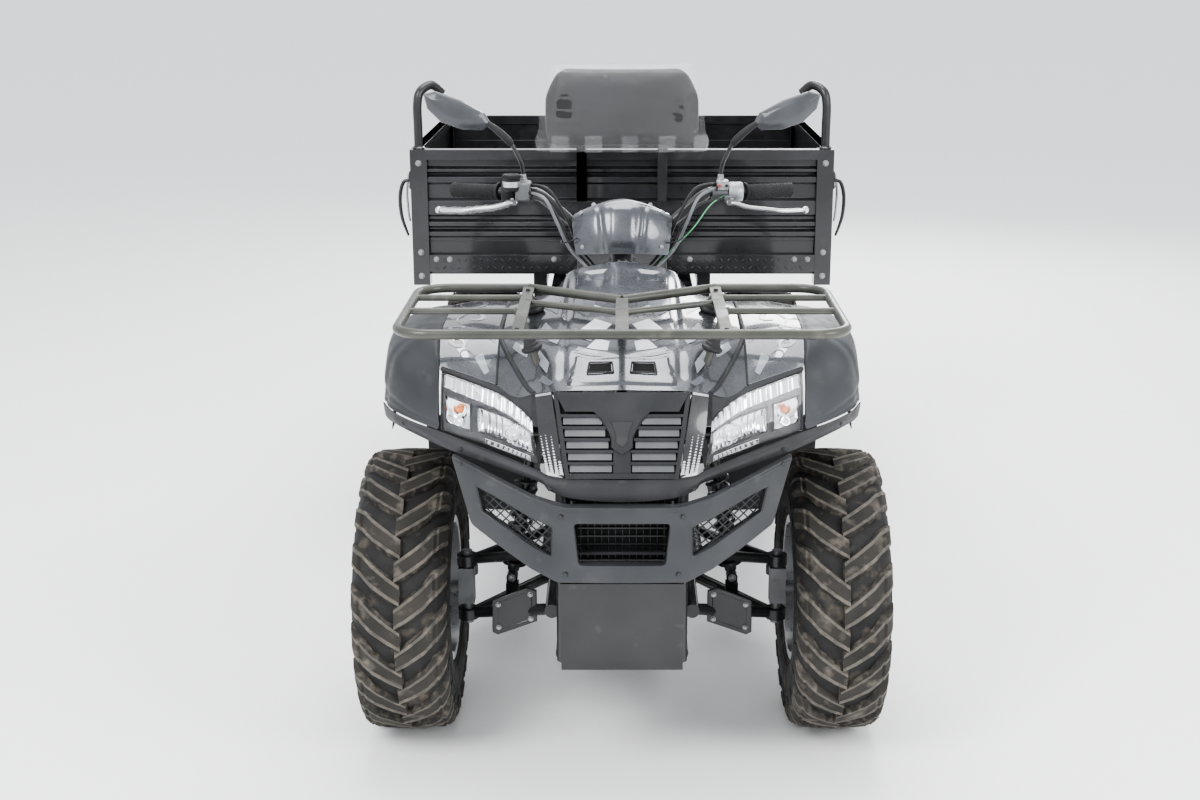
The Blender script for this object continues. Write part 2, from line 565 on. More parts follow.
# Air intakes in the nose
x0, x1 = 24, 66
hole = [(1.1, x0), (1.1, x1), (1.62, x1 - 3), (1.62, x0 + 2)]
corners = []
for u, x in hole:
    v = x / 60 if x <= 60 else 1 + (x - 60) / 52
    p = net_point(HOOD, u, v)
    corners.append(p + Vector((0, -2.5, 6.2 + 1.4 * (1 - x / 46 if x < 46 else 0))))
middle_point = sum(corners, Vector()) / 4
trim.add([at(*c) for c in corners], [[0, 1, 2, 3]], "hole")
ring = [at(*(middle_point + 1.13 * (c - middle_point) + Vector((0, -0.6, 1.2)))) for c in corners]
for a, b in zip(ring, ring[1:] + ring[:1]):
    trim.tube([a, b], 0.0016, "matte", sides=8)
trim.mirrored()
trim.make("hood_trim", "chassis", slot=NODE_SLOT["front_fascia"])

# Graphics on the gloss panels: shards in the middle and swirls on the wings
art = Kit()
SHARDS = [
    ("white", [(2.42, 0.10), (2.86, 0.18), (3.15, 0.85), (2.62, 1.25)]),
    ("grey", [(2.30, 0.70), (2.50, 0.95), (2.62, 1.62), (2.36, 1.78)]),
    ("dark_grey", [(2.15, 0.06), (2.30, 0.04), (2.38, 1.5), (2.2, 1.9)]),
    ("white", [(3.35, 0.75), (3.9, 0.42), (4.2, 0.95), (3.6, 1.5)]),
    ("grey", [(3.0, 1.05), (3.4, 1.0), (3.66, 1.75), (3.2, 1.9)]),
    ("white", [(4.35, 0.15), (4.6, 0.3), (5.0, 1.0), (4.66, 1.1)]),
    ("dark_grey", [(4.3, 1.2), (5.3, 0.9), (5.9, 1.6), (4.8, 1.85)]),
    ("grey", [(1.25, 3.0), (1.7, 2.9), (2.5, 3.55), (2.1, 3.95)]),
    ("dark_grey", [(0.5, 3.0), (0.7, 2.6), (1.2, 3.2), (0.95, 3.6)]),
    ("grey", [(2.8, 2.6), (3.2, 2.4), (4.2, 3.3), (3.5, 3.7)]),
    ("white", [(3.1, 4.5), (3.5, 4.2), (4.4, 4.9), (3.8, 5.3)]),
    ("dark_grey", [(4.6, 2.7), (5.4, 2.5), (6.0, 3.2), (5.2, 3.6)]),
    ("grey", [(2.2, 4.4), (2.7, 4.2), (3.0, 5.0), (2.6, 5.2)]),
]
for key, outline in SHARDS:
    decal(art, HOOD, outline, key, lift=0.9)


def swirl(rows, centre, size, turns, start, key, width):
    steps = 12
    path = []
    for i in range(steps + 1):
        a = start + turns * 2 * math.pi * i / steps
        r = size * (0.2 + 0.8 * i / steps)
        path.append((centre[0] + 1.15 * r * math.cos(a), max(0.02, min(1.98, centre[1] + r * math.sin(a)))))
    ribbon(art, rows, path,
           [width * math.sin(math.pi * (0.12 + 0.86 * i / steps)) + 0.4 for i in range(steps + 1)],
           key, lift=0.7, steps=3)


for centre, size, turns, start, key, width in (
        ((1.75, 1.45), 0.42, 1.15, 0.4, "grey", 9), ((1.7, 1.42), 0.3, -0.8, 2.0, "white", 5),
        ((2.6, 1.15), 0.5, 0.7, 1.0, "grey", 10), ((2.75, 1.0), 0.36, -0.9, 0.2, "white", 5),
        ((1.2, 1.0), 0.3, 0.8, 3.3, "dark_grey", 9), ((3.4, 1.35), 0.4, 0.85, 4.0, "grey", 8),
        ((4.6, 1.0), 0.55, 1.0, 2.4, "grey", 10), ((6.0, 1.1), 0.55, -1.0, 1.2, "dark_grey", 12)):
    swirl(FENDER, centre, size, turns, start, key, width)
for key, outline in (
        ("grey", [(0.45, 0.5), (0.7, 0.35), (1.5, 0.6), (1.2, 0.85)]),
        ("white", [(1.0, 1.2), (1.12, 1.0), (1.5, 1.15), (1.35, 1.4)]),
        ("dark_grey", [(2.2, 0.2), (2.6, 0.15), (3.2, 0.6), (2.7, 0.75)])):
    decal(art, FENDER, outline, key, lift=0.7)
art.mirrored()
art.make("panel_graphics", "chassis", slot=NODE_SLOT["hood"], smooth=180)

fenders = Kit()
panel(fenders, FENDER, 84, 30, "gloss")
fenders.mirrored()
fenders.make("fender_shells", "chassis", "fender_panels", bevel=0.0012, smooth=28)


def flare_shape(u, v, p):
    """A rolled foot on the flare and a shallow step along its top."""
    q = p.copy()
    lip = step(v, 3.75, 3.95)
    q.x += 3.0 * lip
    q.x -= 2.0 * math.exp(-((v - 3.4) / 0.12) ** 2)
    q.z -= 1.6 * math.exp(-((v - 0.16) / 0.06) ** 2)
    return q


flares = Kit()
panel(flares, FLARE, 108, 64, "flare", shape=flare_shape)
flares.mirrored()
flares.make("flare_shells", "chassis", "fender_flares", bevel=0.0014, smooth=28)

fascia = Kit()
panel(fascia, both(FASCIA), 16, 150, "matte",
      shape=lambda u, v, p: p + Vector((0, -3.5, 1.0)) * math.exp(-((u - 0.1) / 0.16) ** 2))
brows = Kit()
panel(brows, BROW, 10, 48, "matte", thick=4.6,
      shape=lambda u, v, p: p + 2.0 * Vector((0, -1, 0.2)) * math.sin(math.pi * u))
brows.mirrored()
fascia.verts, base = fascia.verts + brows.verts, len(fascia.verts)
fascia.faces += [[base + i for i in f] for f in brows.faces]
fascia.looks += brows.looks
for s in (-1, 1):
    for x, y, z in ((143, -418, 692), (330, -298, 738), (458, -192, 762)):
        bolt(fascia, at(s * x, y, z), (0, -1, 0.1), 0.0035, "steel_black")
fascia.make("fascia_panel", "chassis", "front_fascia", bevel=0.0016, smooth=30)

# --- Lamps -----------------------------------------------------------------
lens = Kit()
panel(lens, LENS, 24, 40, "lens", thick=2.2)
lens.mirrored()
lens.make("lamp_lenses", "chassis", "headlight_lenses", smooth=40)


def lamp_depth(u, v):
    """Depth behind the lens, and the look, over the lamp."""
    if u < 0.78 - 0.06 * v:
        return 7 + 5 * abs(math.sin(9 * v)), "chrome_bright"
    if 0.86 < u < 2.32 and 0.22 < v < 2.78:
        a, b = (u - 1.5) / 0.74, (v - 1.5) / 1.28
        bowl = max(0.0, 1 - a * a) * max(0.0, 1 - b ** 4)
        return 10 + 20 * math.sqrt(bowl) + 1.2 * math.sin(26 * v), "chrome"
    if 0.86 < u < 2.4 and 2.98 < v < 3.82:
        a, b = (u - 1.6) / 0.8, (v - 3.4) / 0.44
        return 10 + 14 * max(0.0, 1 - a * a - b * b * 0.6), "chrome"
    return 7.5, "lamp_dark"


bucket = Kit()
NU, NV = 96, 132
rows, looks = [], []
for i in range(NU + 1):
    row, look = [], []
    for j in range(NV + 1):
        u, v = 3 * i / NU, 4 * j / NV
        depth, key = lamp_depth(u, v)
        p = net_point(LENS, u, v)
        row.append(at(*(p + depth * inward(p))))
        look.append(key)
    rows.append(row)
    looks.append(look)
back = [[p + Vector((0, 0.004, -0.001)) for p in r] for r in rows]
for key in ("chrome_bright", "chrome", "lamp_dark"):
    bucket.look(key)
base = len(bucket.verts)
bucket.verts += [p for r in rows for p in r]
for i in range(NU):
    for j in range(NV):
        a = i * (NV + 1) + j
        bucket.faces.append([a, a + 1, a + NV + 2, a + NV + 1])
        bucket.looks.append(bucket.look(looks[i][j]))
edge = ([(0, j) for j in range(NV)] + [(i, NV) for i in range(NU)] + [(NU, j) for j in range(NV, 0, -1)]
        + [(i, 0) for i in range(NU, 0, -1)])
wall_front = [at(*(net_point(LENS, 3 * i / NU, 4 * j / NV)
                  + 2.6 * inward(net_point(LENS, 3 * i / NU, 4 * j / NV))))
              for i, j in edge]
wall_back = [at(*(net_point(LENS, 3 * i / NU, 4 * j / NV)
                  + 36 * inward(net_point(LENS, 3 * i / NU, 4 * j / NV))))
             for i, j in edge]
bucket.grid([wall_front, wall_back], "lamp_dark", wrap=True)
shut = sum(wall_back, Vector()) / len(wall_back)
bucket.add(wall_back + [shut], [[k, (k + 1) % len(edge), len(edge)] for k in range(len(edge))], "lamp_dark")


def lamp_point(u, v, depth):
    p = net_point(LENS, u, v)
    return at(*(p + depth * inward(p)))


def lamp_bulb(u, v, depth, radius, key, ring="chrome"):
    here = lamp_point(u, v, depth)
    out = (lamp_point(u, v, 0) - lamp_point(u, v, 20)).normalized()
    bucket.lathe([(0, radius * 1.9), (radius * 0.9, radius * 1.75), (radius * 0.9, radius * 1.5),
                  (0, radius * 1.3)], here, out, ring, sides=36)
    bucket.lathe([(0, radius), (radius * 0.8, radius), (radius * 1.4, radius * 0.7), (radius * 1.6, 0)],
                 here, out, key, sides=24)


lamp_bulb(1.42, 1.45, 26, 0.010, "bulb")
lamp_bulb(1.25, 3.4, 22, 0.0085, "amber")
lamp_bulb(2.05, 3.42, 19, 0.0055, "bulb")
# Rims of the cells and the light guide's outline along the foot
for u0, u1, v0, v1, key, r in ((0.86, 2.32, 0.22, 2.78, "lamp_dark", 0.0026),
                               (0.86, 2.4, 2.98, 3.82, "lamp_dark", 0.0024),
                               (2.5, 2.82, 0.5, 2.5, "chrome", 0.0011)):
    loop = [(u0, v0 + (v1 - v0) * k / 8) for k in range(9)] + [(u1, v1 - (v1 - v0) * k / 8) for k in range(9)]
    points = [lamp_point(u, v, 6.0) for u, v in loop]
    bucket.tube(points + points[:1], r, key, sides=6)
for k in range(9):
    v = 0.62 + 1.76 * k / 8
    here = lamp_point(2.66, v, 6.4)
    bucket.lathe([(0, 0.004), (0.0015, 0.003), (0.002, 0)], here, (0, -1, 0.2), "bulb", sides=10)
bucket.mirrored()
bucket.make("lamp_reflectors", "chassis", "headlight_housings", smooth=50, weld=False)

# --- Grille and nose strips ------------------------------------------------
strips = Kit()
panel(strips, STRIP, 24, 8, "gloss_black", thick=4.5)
cap = [net_point(STRIP, 0.0, v) + Vector((0, -1, 0.5)) for v in (0.04, 0.96)]
cap += [net_point(STRIP, 0.09, v) + Vector((0, -1, 0.5)) for v in (0.96, 0.04)]
strips.add([at(*p) for p in cap], [[0, 1, 2, 3]], "silver_panel")
for i in range(15):
    u = 1.0 + 0.062 * i
    size = 1.0 + 3.4 * i / 14
    for j, v in enumerate((0.14, 0.38, 0.62, 0.86)):
        if j == 0 and i < 9:
            continue
        p = net_point(STRIP, min(1.93, u + (0.03 if j % 2 else 0)), v) + 0.6 * Vector((0, -1, 0.25))
        a = Vector((0.92, 0.38, 0)).normalized()
        b = Vector((0.1, -0.24, 0.96)).normalized()
        ring = [at(*(p + size * (math.cos(t) * a + math.sin(t) * b)))
                for t in (2 * math.pi * k / 12 for k in range(12))]
        strips.add(ring, [list(range(12))], "white")
foot = [net_point(STRIP, u, v) + 0.8 * Vector((0, -1, 0.25))
        for u, v in ((1.9, 0.5), (1.9, 1), (2, 1), (2, 0.08))]
strips.add([at(*p) for p in foot], [[0, 1, 2, 3]], "white")
strips.mirrored()
strips.make("nose_side_strips", "chassis", "nose_strips", bevel=0.0008, smooth=35, weld=False)

grille = Kit()
grille.move = Matrix.Translation(at(0, -419, 713.2)) @ Matrix.Rotation(math.radians(-13.6), 4, "X")
TOP = 171


def mmv(x, y, z):
    return Vector((x * MM, y * MM, z * MM))


def plate(kit, outline, y0, y1, key):
    kit.prism([mmv(x, y0, z) for x, z in outline], Vector((0, (y1 - y0) * MM, 0)), key)


plate(grille, [(-112, 0), (112, 0), (136, TOP), (-136, TOP)], 1, -1.2, "hole")
for s in (-1, 1):
    plate(grille, [(s * x, z) for x, z in ((112, 0), (136, TOP), (127, TOP), (103, 0))], 0, -8, "grille")
    plate(grille, [(s * x, z) for x, z in ((0, 0), (106, 0), (108, 11), (0, 11))], 0, -7.5, "grille")
    plate(grille, [(s * x, z) for x, z in ((0, 8), (18, 8), (17, 60), (26, 92), (52, 128), (0, 128))], 0,
          -6, "grille")
    for k in range(5):
        z = 13 + k * 23.5
        x0 = 20 + max(0, k - 1) * 6.5
        x1 = 103 + k * 3.3
        # A slat leans back behind each opening, under a bar
        grille.prism([mmv(s * x0, -1.6, z + 15), mmv(s * x1, -1.6, z + 15), mmv(s * x1, -6.5, z + 1),
                      mmv(s * x0, -6.5, z + 1)], mmv(0, -1.2, -0.4), "slat")
        plate(grille, [(s * (x0 - 4), z + 15), (s * (x1 + 4), z + 15), (s * (x1 + 5), z + 21),
                       (s * (x0 - 2), z + 21)],
              0, -8, "grille")
    bolt(grille, mmv(s * 99, -7, 7), (0, -1, 0), 0.0032, "steel_black")
shield = [(-132, TOP), (-112, 133), (-56, 133), (-38, 118), (-21, 84), (-21, 62), (0, 48), (21, 62), (21, 84),
          (38, 118), (56, 133), (112, 133), (132, TOP)]
plate(grille, shield, -5, -10.5, "grille")
plate(grille, [(x * 0.55, 100 + (z - 100) * 0.72) for x, z in shield[3:10]], -10, -12, "matte")
grille.make("grille_assembly", "chassis", "grille", bevel=0.0012, segments=2, smooth=30)


# --- Bumper ----------------------------------------------------------------
PLAN = [(-410, -270), (-181, -437), (-130, -452), (-40, -455), (40, -455), (130, -452), (181, -437),
        (410, -270)]


def plan_y(x):
    for (x0, y0), (x1, y1) in zip(PLAN, PLAN[1:]):
        if x0 <= x <= x1:
            return y0 + (y1 - y0) * (x - x0) / (x1 - x0)
    return PLAN[0][1]


def flat_plate(outlines, depth, bevel):
    """A flat plate with windows as a mesh, in X and Z, its face towards -Y, edges rounded."""
    curve = bpy.data.curves.new("plate", "CURVE")
    curve.dimensions, curve.fill_mode = "2D", "BOTH"
    curve.extrude, curve.bevel_depth, curve.bevel_resolution = depth / 2 - bevel, bevel, 2
    curve.offset = -bevel
    for loop in outlines:
        spline = curve.splines.new("POLY")
        spline.points.add(len(loop) - 1)
        for point, (x, z) in zip(spline.points, loop):
            point.co = (x, z, 0, 1)
        spline.use_cyclic_u = True
    obj = bpy.data.objects.new("plate", curve)
    bpy.context.collection.objects.link(obj)
    bpy.context.view_layer.update()
    mesh = bpy.data.meshes.new_from_object(obj.evaluated_get(bpy.context.evaluated_depsgraph_get()))
    bpy.data.objects.remove(obj)
    bpy.data.curves.remove(curve)
    return mesh


def rounded(outline, r, steps=3):
    """Rounds an outline's corners."""
    out, n = [], len(outline)
    for i in range(n):
        p, a, b = Vector(outline[i]), Vector(outline[i - 1]), Vector(outline[(i + 1) % n])
        cut = min(r, (a - p).length / 2.2, (b - p).length / 2.2)
        s, e = p + (a - p).normalized() * cut, p + (b - p).normalized() * cut
        for k in range(steps + 1):
            t = k / steps
            q = (1 - t) ** 2 * s + 2 * t * (1 - t) * p + t * t * e
            out.append((q.x, q.y))
    return out


WINDOW = [(292, 676), (280, 624), (141, 560), (138, 622)]
outer = [(-348, 729), (-262, 703), (-170, 678), (-112, 664), (112, 664), (170, 678), (262, 703), (348, 729),
         (308, 592), (232, 552), (128, 506), (-128, 506), (-232, 552), (-308, 592)]
loops = [rounded(outer, 9), rounded([(-95, 630), (95, 630), (86, 543), (-86, 543)], 8)]
loops += [rounded([(s * x, z) for x, z in WINDOW], 6) for s in (-1, 1)]
mesh = flat_plate(loops, 28, 3.2)
bm = bmesh.new()
bm.from_mesh(mesh)
for x, _ in PLAN[1:-1]:
    bmesh.ops.bisect_plane(bm, geom=bm.verts[:] + bm.edges[:] + bm.faces[:], plane_co=(x, 0, 0),
                           plane_no=(1, 0, 0))
plate_verts = [v.co.copy() for v in bm.verts]
bm.verts.index_update()
bumper = Kit()
bumper.add([at(c.x, plan_y(c.x) + (14 - c.z) * (1.0 if abs(c.x) < 150 else 0.96), c.y) for c in plate_verts],
           [[v.index for v in f.verts] for f in bm.faces], "bumper")
bm.free()
# A raised brow along the top, window frames and bolts
top = [(-340, 721), (-262, 697), (-170, 672), (-112, 658), (112, 658), (170, 672), (262, 697), (340, 721)]
bumper.tube([at(x, plan_y(x) + 3.4, z) for x, z in top], 0.005, "bumper", sides=8, flat=0.5)
for s in (-1, 1):
    centre_w = Vector((sum(x for x, _ in WINDOW) / 4 * s, sum(z for _, z in WINDOW) / 4))
    frame_pts = [centre_w + 1.05 * (Vector((s * x, z)) - centre_w) for x, z in WINDOW]
    ring = [at(p.x, plan_y(p.x) + 1.2, p.y) for p in frame_pts]
    for a, b in zip(ring, ring[1:] + ring[:1]):
        bumper.tube([a, b], 0.0024, "bumper", sides=8)
    for x, z in ((326, 716), (112, 525), (120, 646)):
        bolt(bumper, at(s * x, plan_y(s * x) + 0.8, z), (s * 0.3, -1, 0), 0.0042, "steel_black")
bumper.make("bumper_moulding", "chassis", "front_bumper", smooth=30, weld=True)

# Expanded sheet in the bumper's windows
sheet = Kit()
for s in (-1, 1):
    poly = [(s * x, z) for x, z in WINDOW]

    def inside(x, z):
        hit = False
        for (x0, z0), (x1, z1) in zip(poly, poly[1:] + poly[:1]):
            if (z0 > z) != (z1 > z) and x < (x1 - x0) * (z - z0) / (z1 - z0) + x0:
                hit = not hit
        return hit

    cx, cz = sum(p[0] for p in poly) / 4, sum(p[1] for p in poly) / 4
    for angle in (35, -50):
        a = math.radians(angle * s)
        d, n = (math.cos(a), math.sin(a)), (-math.sin(a), math.cos(a))
        for k in range(-12, 13):
            run = []
            for t in range(-110, 111, 4):
                x, z = cx + n[0] * k * 14 + d[0] * t, cz + n[1] * k * 14 + d[1] * t
                if inside(x, z):
                    run.append((x, z))
            if len(run) > 1:
                ends = [run[0], run[-1]]
                mid = [(ends[0][0] + (ends[1][0] - ends[0][0]) * q,
                        ends[0][1] + (ends[1][1] - ends[0][1]) * q)
                       for q in (0, 0.25, 0.5, 0.75, 1)]
                sheet.tube([at(x, plan_y(x) + 16, z) for x, z in mid], 0.0016, "bumper", sides=6)
    ring = [at(x, plan_y(x) + 16, z) for x, z in poly]
    for a, b in zip(ring, ring[1:] + ring[:1]):
        sheet.tube([a, b], 0.003, "steel_black", sides=6)
sheet.make("bumper_mesh_sheet", "chassis", "bumper_mesh", smooth=50)

# Fins behind the bumper's middle opening
fins = Kit()
for k in range(9):
    z = 526 + k * 17
    fins.prism([at(-90, -383, z), at(90, -383, z), at(90, -386.5, z + 3), at(-90, -386.5, z + 3)],
               Vector((0, 0, 3 * MM)), "steel_black")
for k in range(13):
    x = -84 + 14 * k
    fins.prism([at(x, -382.4, 512), at(x + 2, -382.4, 512), at(x + 2, -384, 512), at(x, -384, 512)],
               Vector((0, 0, 184 * MM)), "steel_black")
fins.prism([at(-88, -396, 545), at(88, -396, 545), at(88, -384, 545), at(-88, -384, 545)],
           Vector((0, 0, 5 * MM)), "bumper")
fins.make("radiator_fins", "chassis", slot=NODE_SLOT["radiator"], bevel=0.0006)

# --- Rack fittings ---------------------------------------------------------
feet = Kit()
LEAN = 27 / 84
for y in (-262, 0):
    axis = Vector((LEAN, 0, 1)).normalized()
    z = 936 if y else 958
    here = at(203 - LEAN * (1004 - z), y, z)
    feet.lathe([(0, 0.019), (0.004, 0.022), (0.008, 0.0215), (0.011, 0.016), (0.015, 0.0155), (0.018, 0.0125),
                (0.026, 0.012), (0.03, 0.0085)], here, axis, "soft_rubber", sides=28)
for y in (-66, -199):
    for x in (215, 444):
        feet.lathe([(-0.001, 0.0085), (0.003, 0.0095), (0.006, 0.0085)], at(x, y, 1004),
                   (1 if x < 300 else -1, 0, 0),
                   "rack", sides=18)
for y in (-400, -20):
    bolt(feet, at(203, y, 1010), (0, 0, 1), 0.0045, "steel_black")
feet.mirrored()
feet.make("rack_feet", "chassis", slot=NODE_SLOT["front_rack"])


# --- Tyres -----------------------------------------------------------------
def tyre_profile(half, bead):
    """(across, radius) pairs round a tyre's outside, in millimetres, from bead to bead."""
    r = RADIUS / MM
    side = [(half - 22, bead), (half - 20, bead + 10), (half - 10, bead + 22), (half - 1.2, bead + 44),
            (half - 0.4, bead + 70), (half - 3, r - 52), (half - 9, r - 38), (half - 20, r - 26),
            (half - 34, r - 19.5), (half - 60, r - 16.5), (0.35 * half, r - 15)]
    return side


def crown(half, s):
    """Where a lug's top lies at a share s of the way across: 0 in the middle, 1 low on the shoulder."""
    r = RADIUS / MM
    points = [(0, r - 0.2), (0.3 * half, r - 1.0), (0.6 * half, r - 2.8), (half - 22, r - 6),
              (half - 10, r - 14),
              (half - 3.2, r - 28), (half - 0.6, r - 46)]
    p = along([Vector((*q, 0)) for q in points], s * (len(points) - 1))
    return p.x, p.y


def floor_of(half, s):
    r = RADIUS / MM
    points = [(0, r - 15), (0.3 * half, r - 15.5), (0.58 * half, r - 17), (half - 32, r - 20),
              (half - 22, r - 27),
              (half - 10, r - 36), (half - 5, r - 50)]
    p = along([Vector((*q, 0)) for q in points], s * (len(points) - 1))
    return p.x, p.y


def tyre(name, body, centre, width, count, sign):
    """A chevron-lugged tyre turning about X. sign is which way the arms lean from the middle."""
    kit = Kit()
    half, bead = width / 2, 152.5
    side = tyre_profile(half, bead)
    outline = side + [(0.0, RADIUS / MM - 14.6)] + [(-x, r) for x, r in reversed(side)]
    inner = [(-half + 30, bead + 6), (-half + 18, bead + 50), (-half + 26, RADIUS / MM - 46),
             (0, RADIUS / MM - 32),
             (half - 26, RADIUS / MM - 46), (half - 18, bead + 50), (half - 30, bead + 6)]
    ring = [(x * MM, r * MM) for x, r in outline + inner]
    kit.lathe(ring, centre, (1, 0, 0), "rubber", sides=120, closed=True)
    # Raised rings on the walls
    for s in (-1, 1):
        for r, h in ((bead + 30, 1.6), (bead + 84, 1.2)):
            x = s * (half - (6.2 if r < bead + 40 else 0.6))
            kit.lathe([(x * MM - s * 0.004, (r - 3) * MM), (x * MM + s * h * MM * 0.5, (r - 1.6) * MM),
                       (x * MM + s * h * MM * 0.5, (r + 1.6) * MM), (x * MM - s * 0.004, (r + 3) * MM)],
                      centre, (1, 0, 0), "rubber", sides=96)
    pitch = 2 * math.pi / count

    def spot(x, r, angle):
        return centre + Vector((x * MM, -r * MM * math.cos(angle), r * MM * math.sin(angle)))

    stations = [0.0, 0.12, 0.3, 0.44, 0.5, 0.56, 0.7, 0.86, 1.0]
    for s in (-1, 1):
        for k in range(count):
            start = k * pitch + (pitch / 2 if s > 0 else 0)

            def middle_angle(t):
                lean = 0.98 * min(t, 0.46) + 0.42 * max(0, t - 0.46)
                return start + sign * pitch * (1.55 * lean)

            def half_width(t):
                return pitch * (0.235 + 0.05 * math.sin(math.pi * min(1, t * 1.2)) + 0.05 * step(t, 0.7, 1))

            tops, inset_tops, sunk, feet_rows = [], [], [], []
            for t in stations:
                x, r = crown(half, t)
                fx, fr = floor_of(half, t)
                if t in (0.5,):
                    r -= 4.0
                x, fx = s * (x - 6 if t == 0 else x), s * (fx - 8 if t == 0 else fx)
                m, w = middle_angle(t), half_width(t)
                tops.append([(x, r, m - w * 0.9), (x, r, m + w * 0.9)])
                feet_rows.append([(fx, fr, m - w * 1.16), (fx, fr, m + w * 1.16)])
                inset_tops.append([(x, r, m - w * 0.62), (x, r, m + w * 0.62)])
                sunk.append([(x, r - 1.8, m - w * 0.55), (x, r - 1.8, m + w * 0.55)])
            columns = []
            for f, t, i, q in zip(feet_rows, tops, inset_tops, sunk):
                columns.append([spot(*f[0]), spot(*t[0]), spot(*i[0]), spot(*q[0]), spot(*q[1]), spot(*i[1]),
                                spot(*t[1]), spot(*f[1])])
            n, m = len(columns), 8
            # Sides, flats and sunk middles have their own looks
            base = len(kit.verts)
            kit.verts += [p for c in columns for p in c]
            for i in range(n - 1):
                for j in range(m - 1):
                    a = base + i * m + j
                    kit.faces.append([a, a + 1, a + m + 1, a + m])
                    kit.looks.append(kit.look("lug_side" if j in (0, 6) else "groove" if j == 3 else "lug"))
            for i in (0, n - 1):
                kit.faces.append([base + i * m + j for j in range(m)])
                kit.looks.append(kit.look("lug_side"))
    # A block on the shoulder between the lugs
    for s in (-1, 1):
        for k in range(count):
            a0 = k * pitch + (pitch / 2 if s > 0 else 0) + pitch * 0.5 + sign * pitch * 1.0
            x, r = half - 0.8, RADIUS / MM - 52
            corners = [spot(s * (x - 3), r, a0 - pitch * 0.16), spot(s * (x - 3), r, a0 + pitch * 0.16),
                       spot(s * (x - 0.5), r - 20, a0 + pitch * 0.1),
                       spot(s * (x - 0.5), r - 20, a0 - pitch * 0.1)]
            kit.prism(corners, Vector((s * 0.0022, 0, 0)), "rubber")
    return kit.make(name, body, name.replace("_carcass", ""), smooth=32, weld=False,
                    slot=NODE_SLOT["front_tyre_left"])


for end, centre, count in (("front", AXLE, 20), ("rear", REAR, 20)):
    for hand, s in (("left", 1), ("right", -1)):
        node = f"{end}_tyre_{hand}"
        lo, hi = (Vector(v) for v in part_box(node))
        tyre(node + "_carcass", f"{end}_wheel_{hand}", middle(node), (hi.x - lo.x) / MM, count, 1)

# Wheel fittings: nuts, cap, valve
for end in ("front", "rear"):
    for hand, s in (("left", 1), ("right", -1)):
        lo, hi = (Vector(v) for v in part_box(f"{end}_tyre_{hand}"))
        half = (hi.x - lo.x) / 2
        c = middle(f"{end}_tyre_{hand}")
        face = half - 0.022 - 0.040 + 0.008
        kit = Kit()
        for k in range(4):
            a = math.pi / 4 + k * math.pi / 2
            here = c + Vector((s * face, 0.055 * math.cos(a), 0.055 * math.sin(a)))
            bolt(kit, here, (s, 0, 0), 0.009, "steel")
        kit.lathe([(0, 0.003), (0.012, 0.0032), (0.03, 0.0032), (0.032, 0)],
                  c + Vector((s * (face + 0.005), 0, 0.13)), (s, 0.0, 0.25), "soft_rubber", sides=12)
        kit.lathe([(0, 0.1475), (0.0035, 0.1475), (0.0035, 0.143), (0, 0.143)],
                  c + Vector((s * (half - 0.0145), 0, 0)),
                  (s, 0, 0), "alloy", sides=96)
        kit.make(f"{end}_wheel_fittings_{hand}", f"{end}_wheel_{hand}", slot=NODE_SLOT[f"{end}_rim_{hand}"])


# --- Cargo bed -------------------------------------------------------------
BED_START, BED_END, FLOOR_Z = 1390, 2440, 873
HEAD = Vector(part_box("headboard")[0]), Vector(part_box("headboard")[1])
BX = HEAD[1].x / MM
POST = 50
GATE_TOP = 1148
FOOT = HEAD[0].z / MM


def pressed_sheet(kit, place, width, profile, key, thick=0.002):
    """A sheet with pressed ribs: profile holds (depth, height) pairs, place(x, depth, height) a point."""
    front = [[place(x, d, h) for x in (0, width)] for d, h in profile]
    rear = [[place(x, d + thick / MM, h) for x in (0, width)] for d, h in profile]
    kit.grid(front, key)
    kit.grid(rear, key)
    for k in (0, 1):
        kit.grid([[r[k] for r in front], [r[k] for r in rear]], key)


def rib_profile(low, high, ribs, proud, back):
    out = [(back, low)]
    for z, h in ribs:
        out += [(back, z - 5), (back - proud, z + 2), (back - proud, z + h - 2), (back, z + h + 5)]
    return out + [(back, high)]


head = Kit()
inner = BX - POST
ribs = [(FLOOR_Z + 14, 16), (FLOOR_Z + 44, 16), (FLOOR_Z + 78, 46), (GATE_TOP - 100, 20), (GATE_TOP - 68, 12)]
pressed_sheet(head, lambda x, d, h: at(x - inner - 1, BED_START + d, h), 2 * inner + 2,
              rib_profile(FOOT + 30, GATE_TOP - 26, ribs, 14, 22), "bed")
for s in (-1, 1):
    lo_x, hi_x = sorted((s * inner, s * BX))
    head.prism([at(lo_x, BED_START, FOOT), at(hi_x, BED_START, FOOT), at(hi_x, BED_START + POST, FOOT),
                at(lo_x, BED_START + POST, FOOT)], Vector((0, 0, (GATE_TOP - FOOT) * MM)), "bed")
    for z in (FOOT + 28, FOOT + 100, GATE_TOP - 40):
        bolt(head, at(s * (BX - 25), BED_START, z), (0, -1, 0), 0.007, "steel")
head.prism([at(-inner, BED_START - 0.5, GATE_TOP - 30), at(inner, BED_START - 0.5, GATE_TOP - 30),
            at(inner, BED_START + 40, GATE_TOP - 30), at(-inner, BED_START + 40, GATE_TOP - 30)],
           Vector((0, 0, 30 * MM)), "bed")
# Foot rail with its tread-plate band
head.prism([at(-inner, BED_START, FLOOR_Z - 93), at(inner, BED_START, FLOOR_Z - 93),
            at(inner, BED_START + 20, FLOOR_Z - 93), at(-inner, BED_START + 20, FLOOR_Z - 93)],
           Vector((0, 0, 52 * MM)), "bed")
head.prism([at(-inner, BED_START + 20, FLOOR_Z - 4), at(inner, BED_START + 20, FLOOR_Z - 4),
            at(inner, BED_START + POST, FLOOR_Z - 4), at(-inner, BED_START + POST, FLOOR_Z - 4)],
           Vector((0, 0, 4 * MM)), "bed")


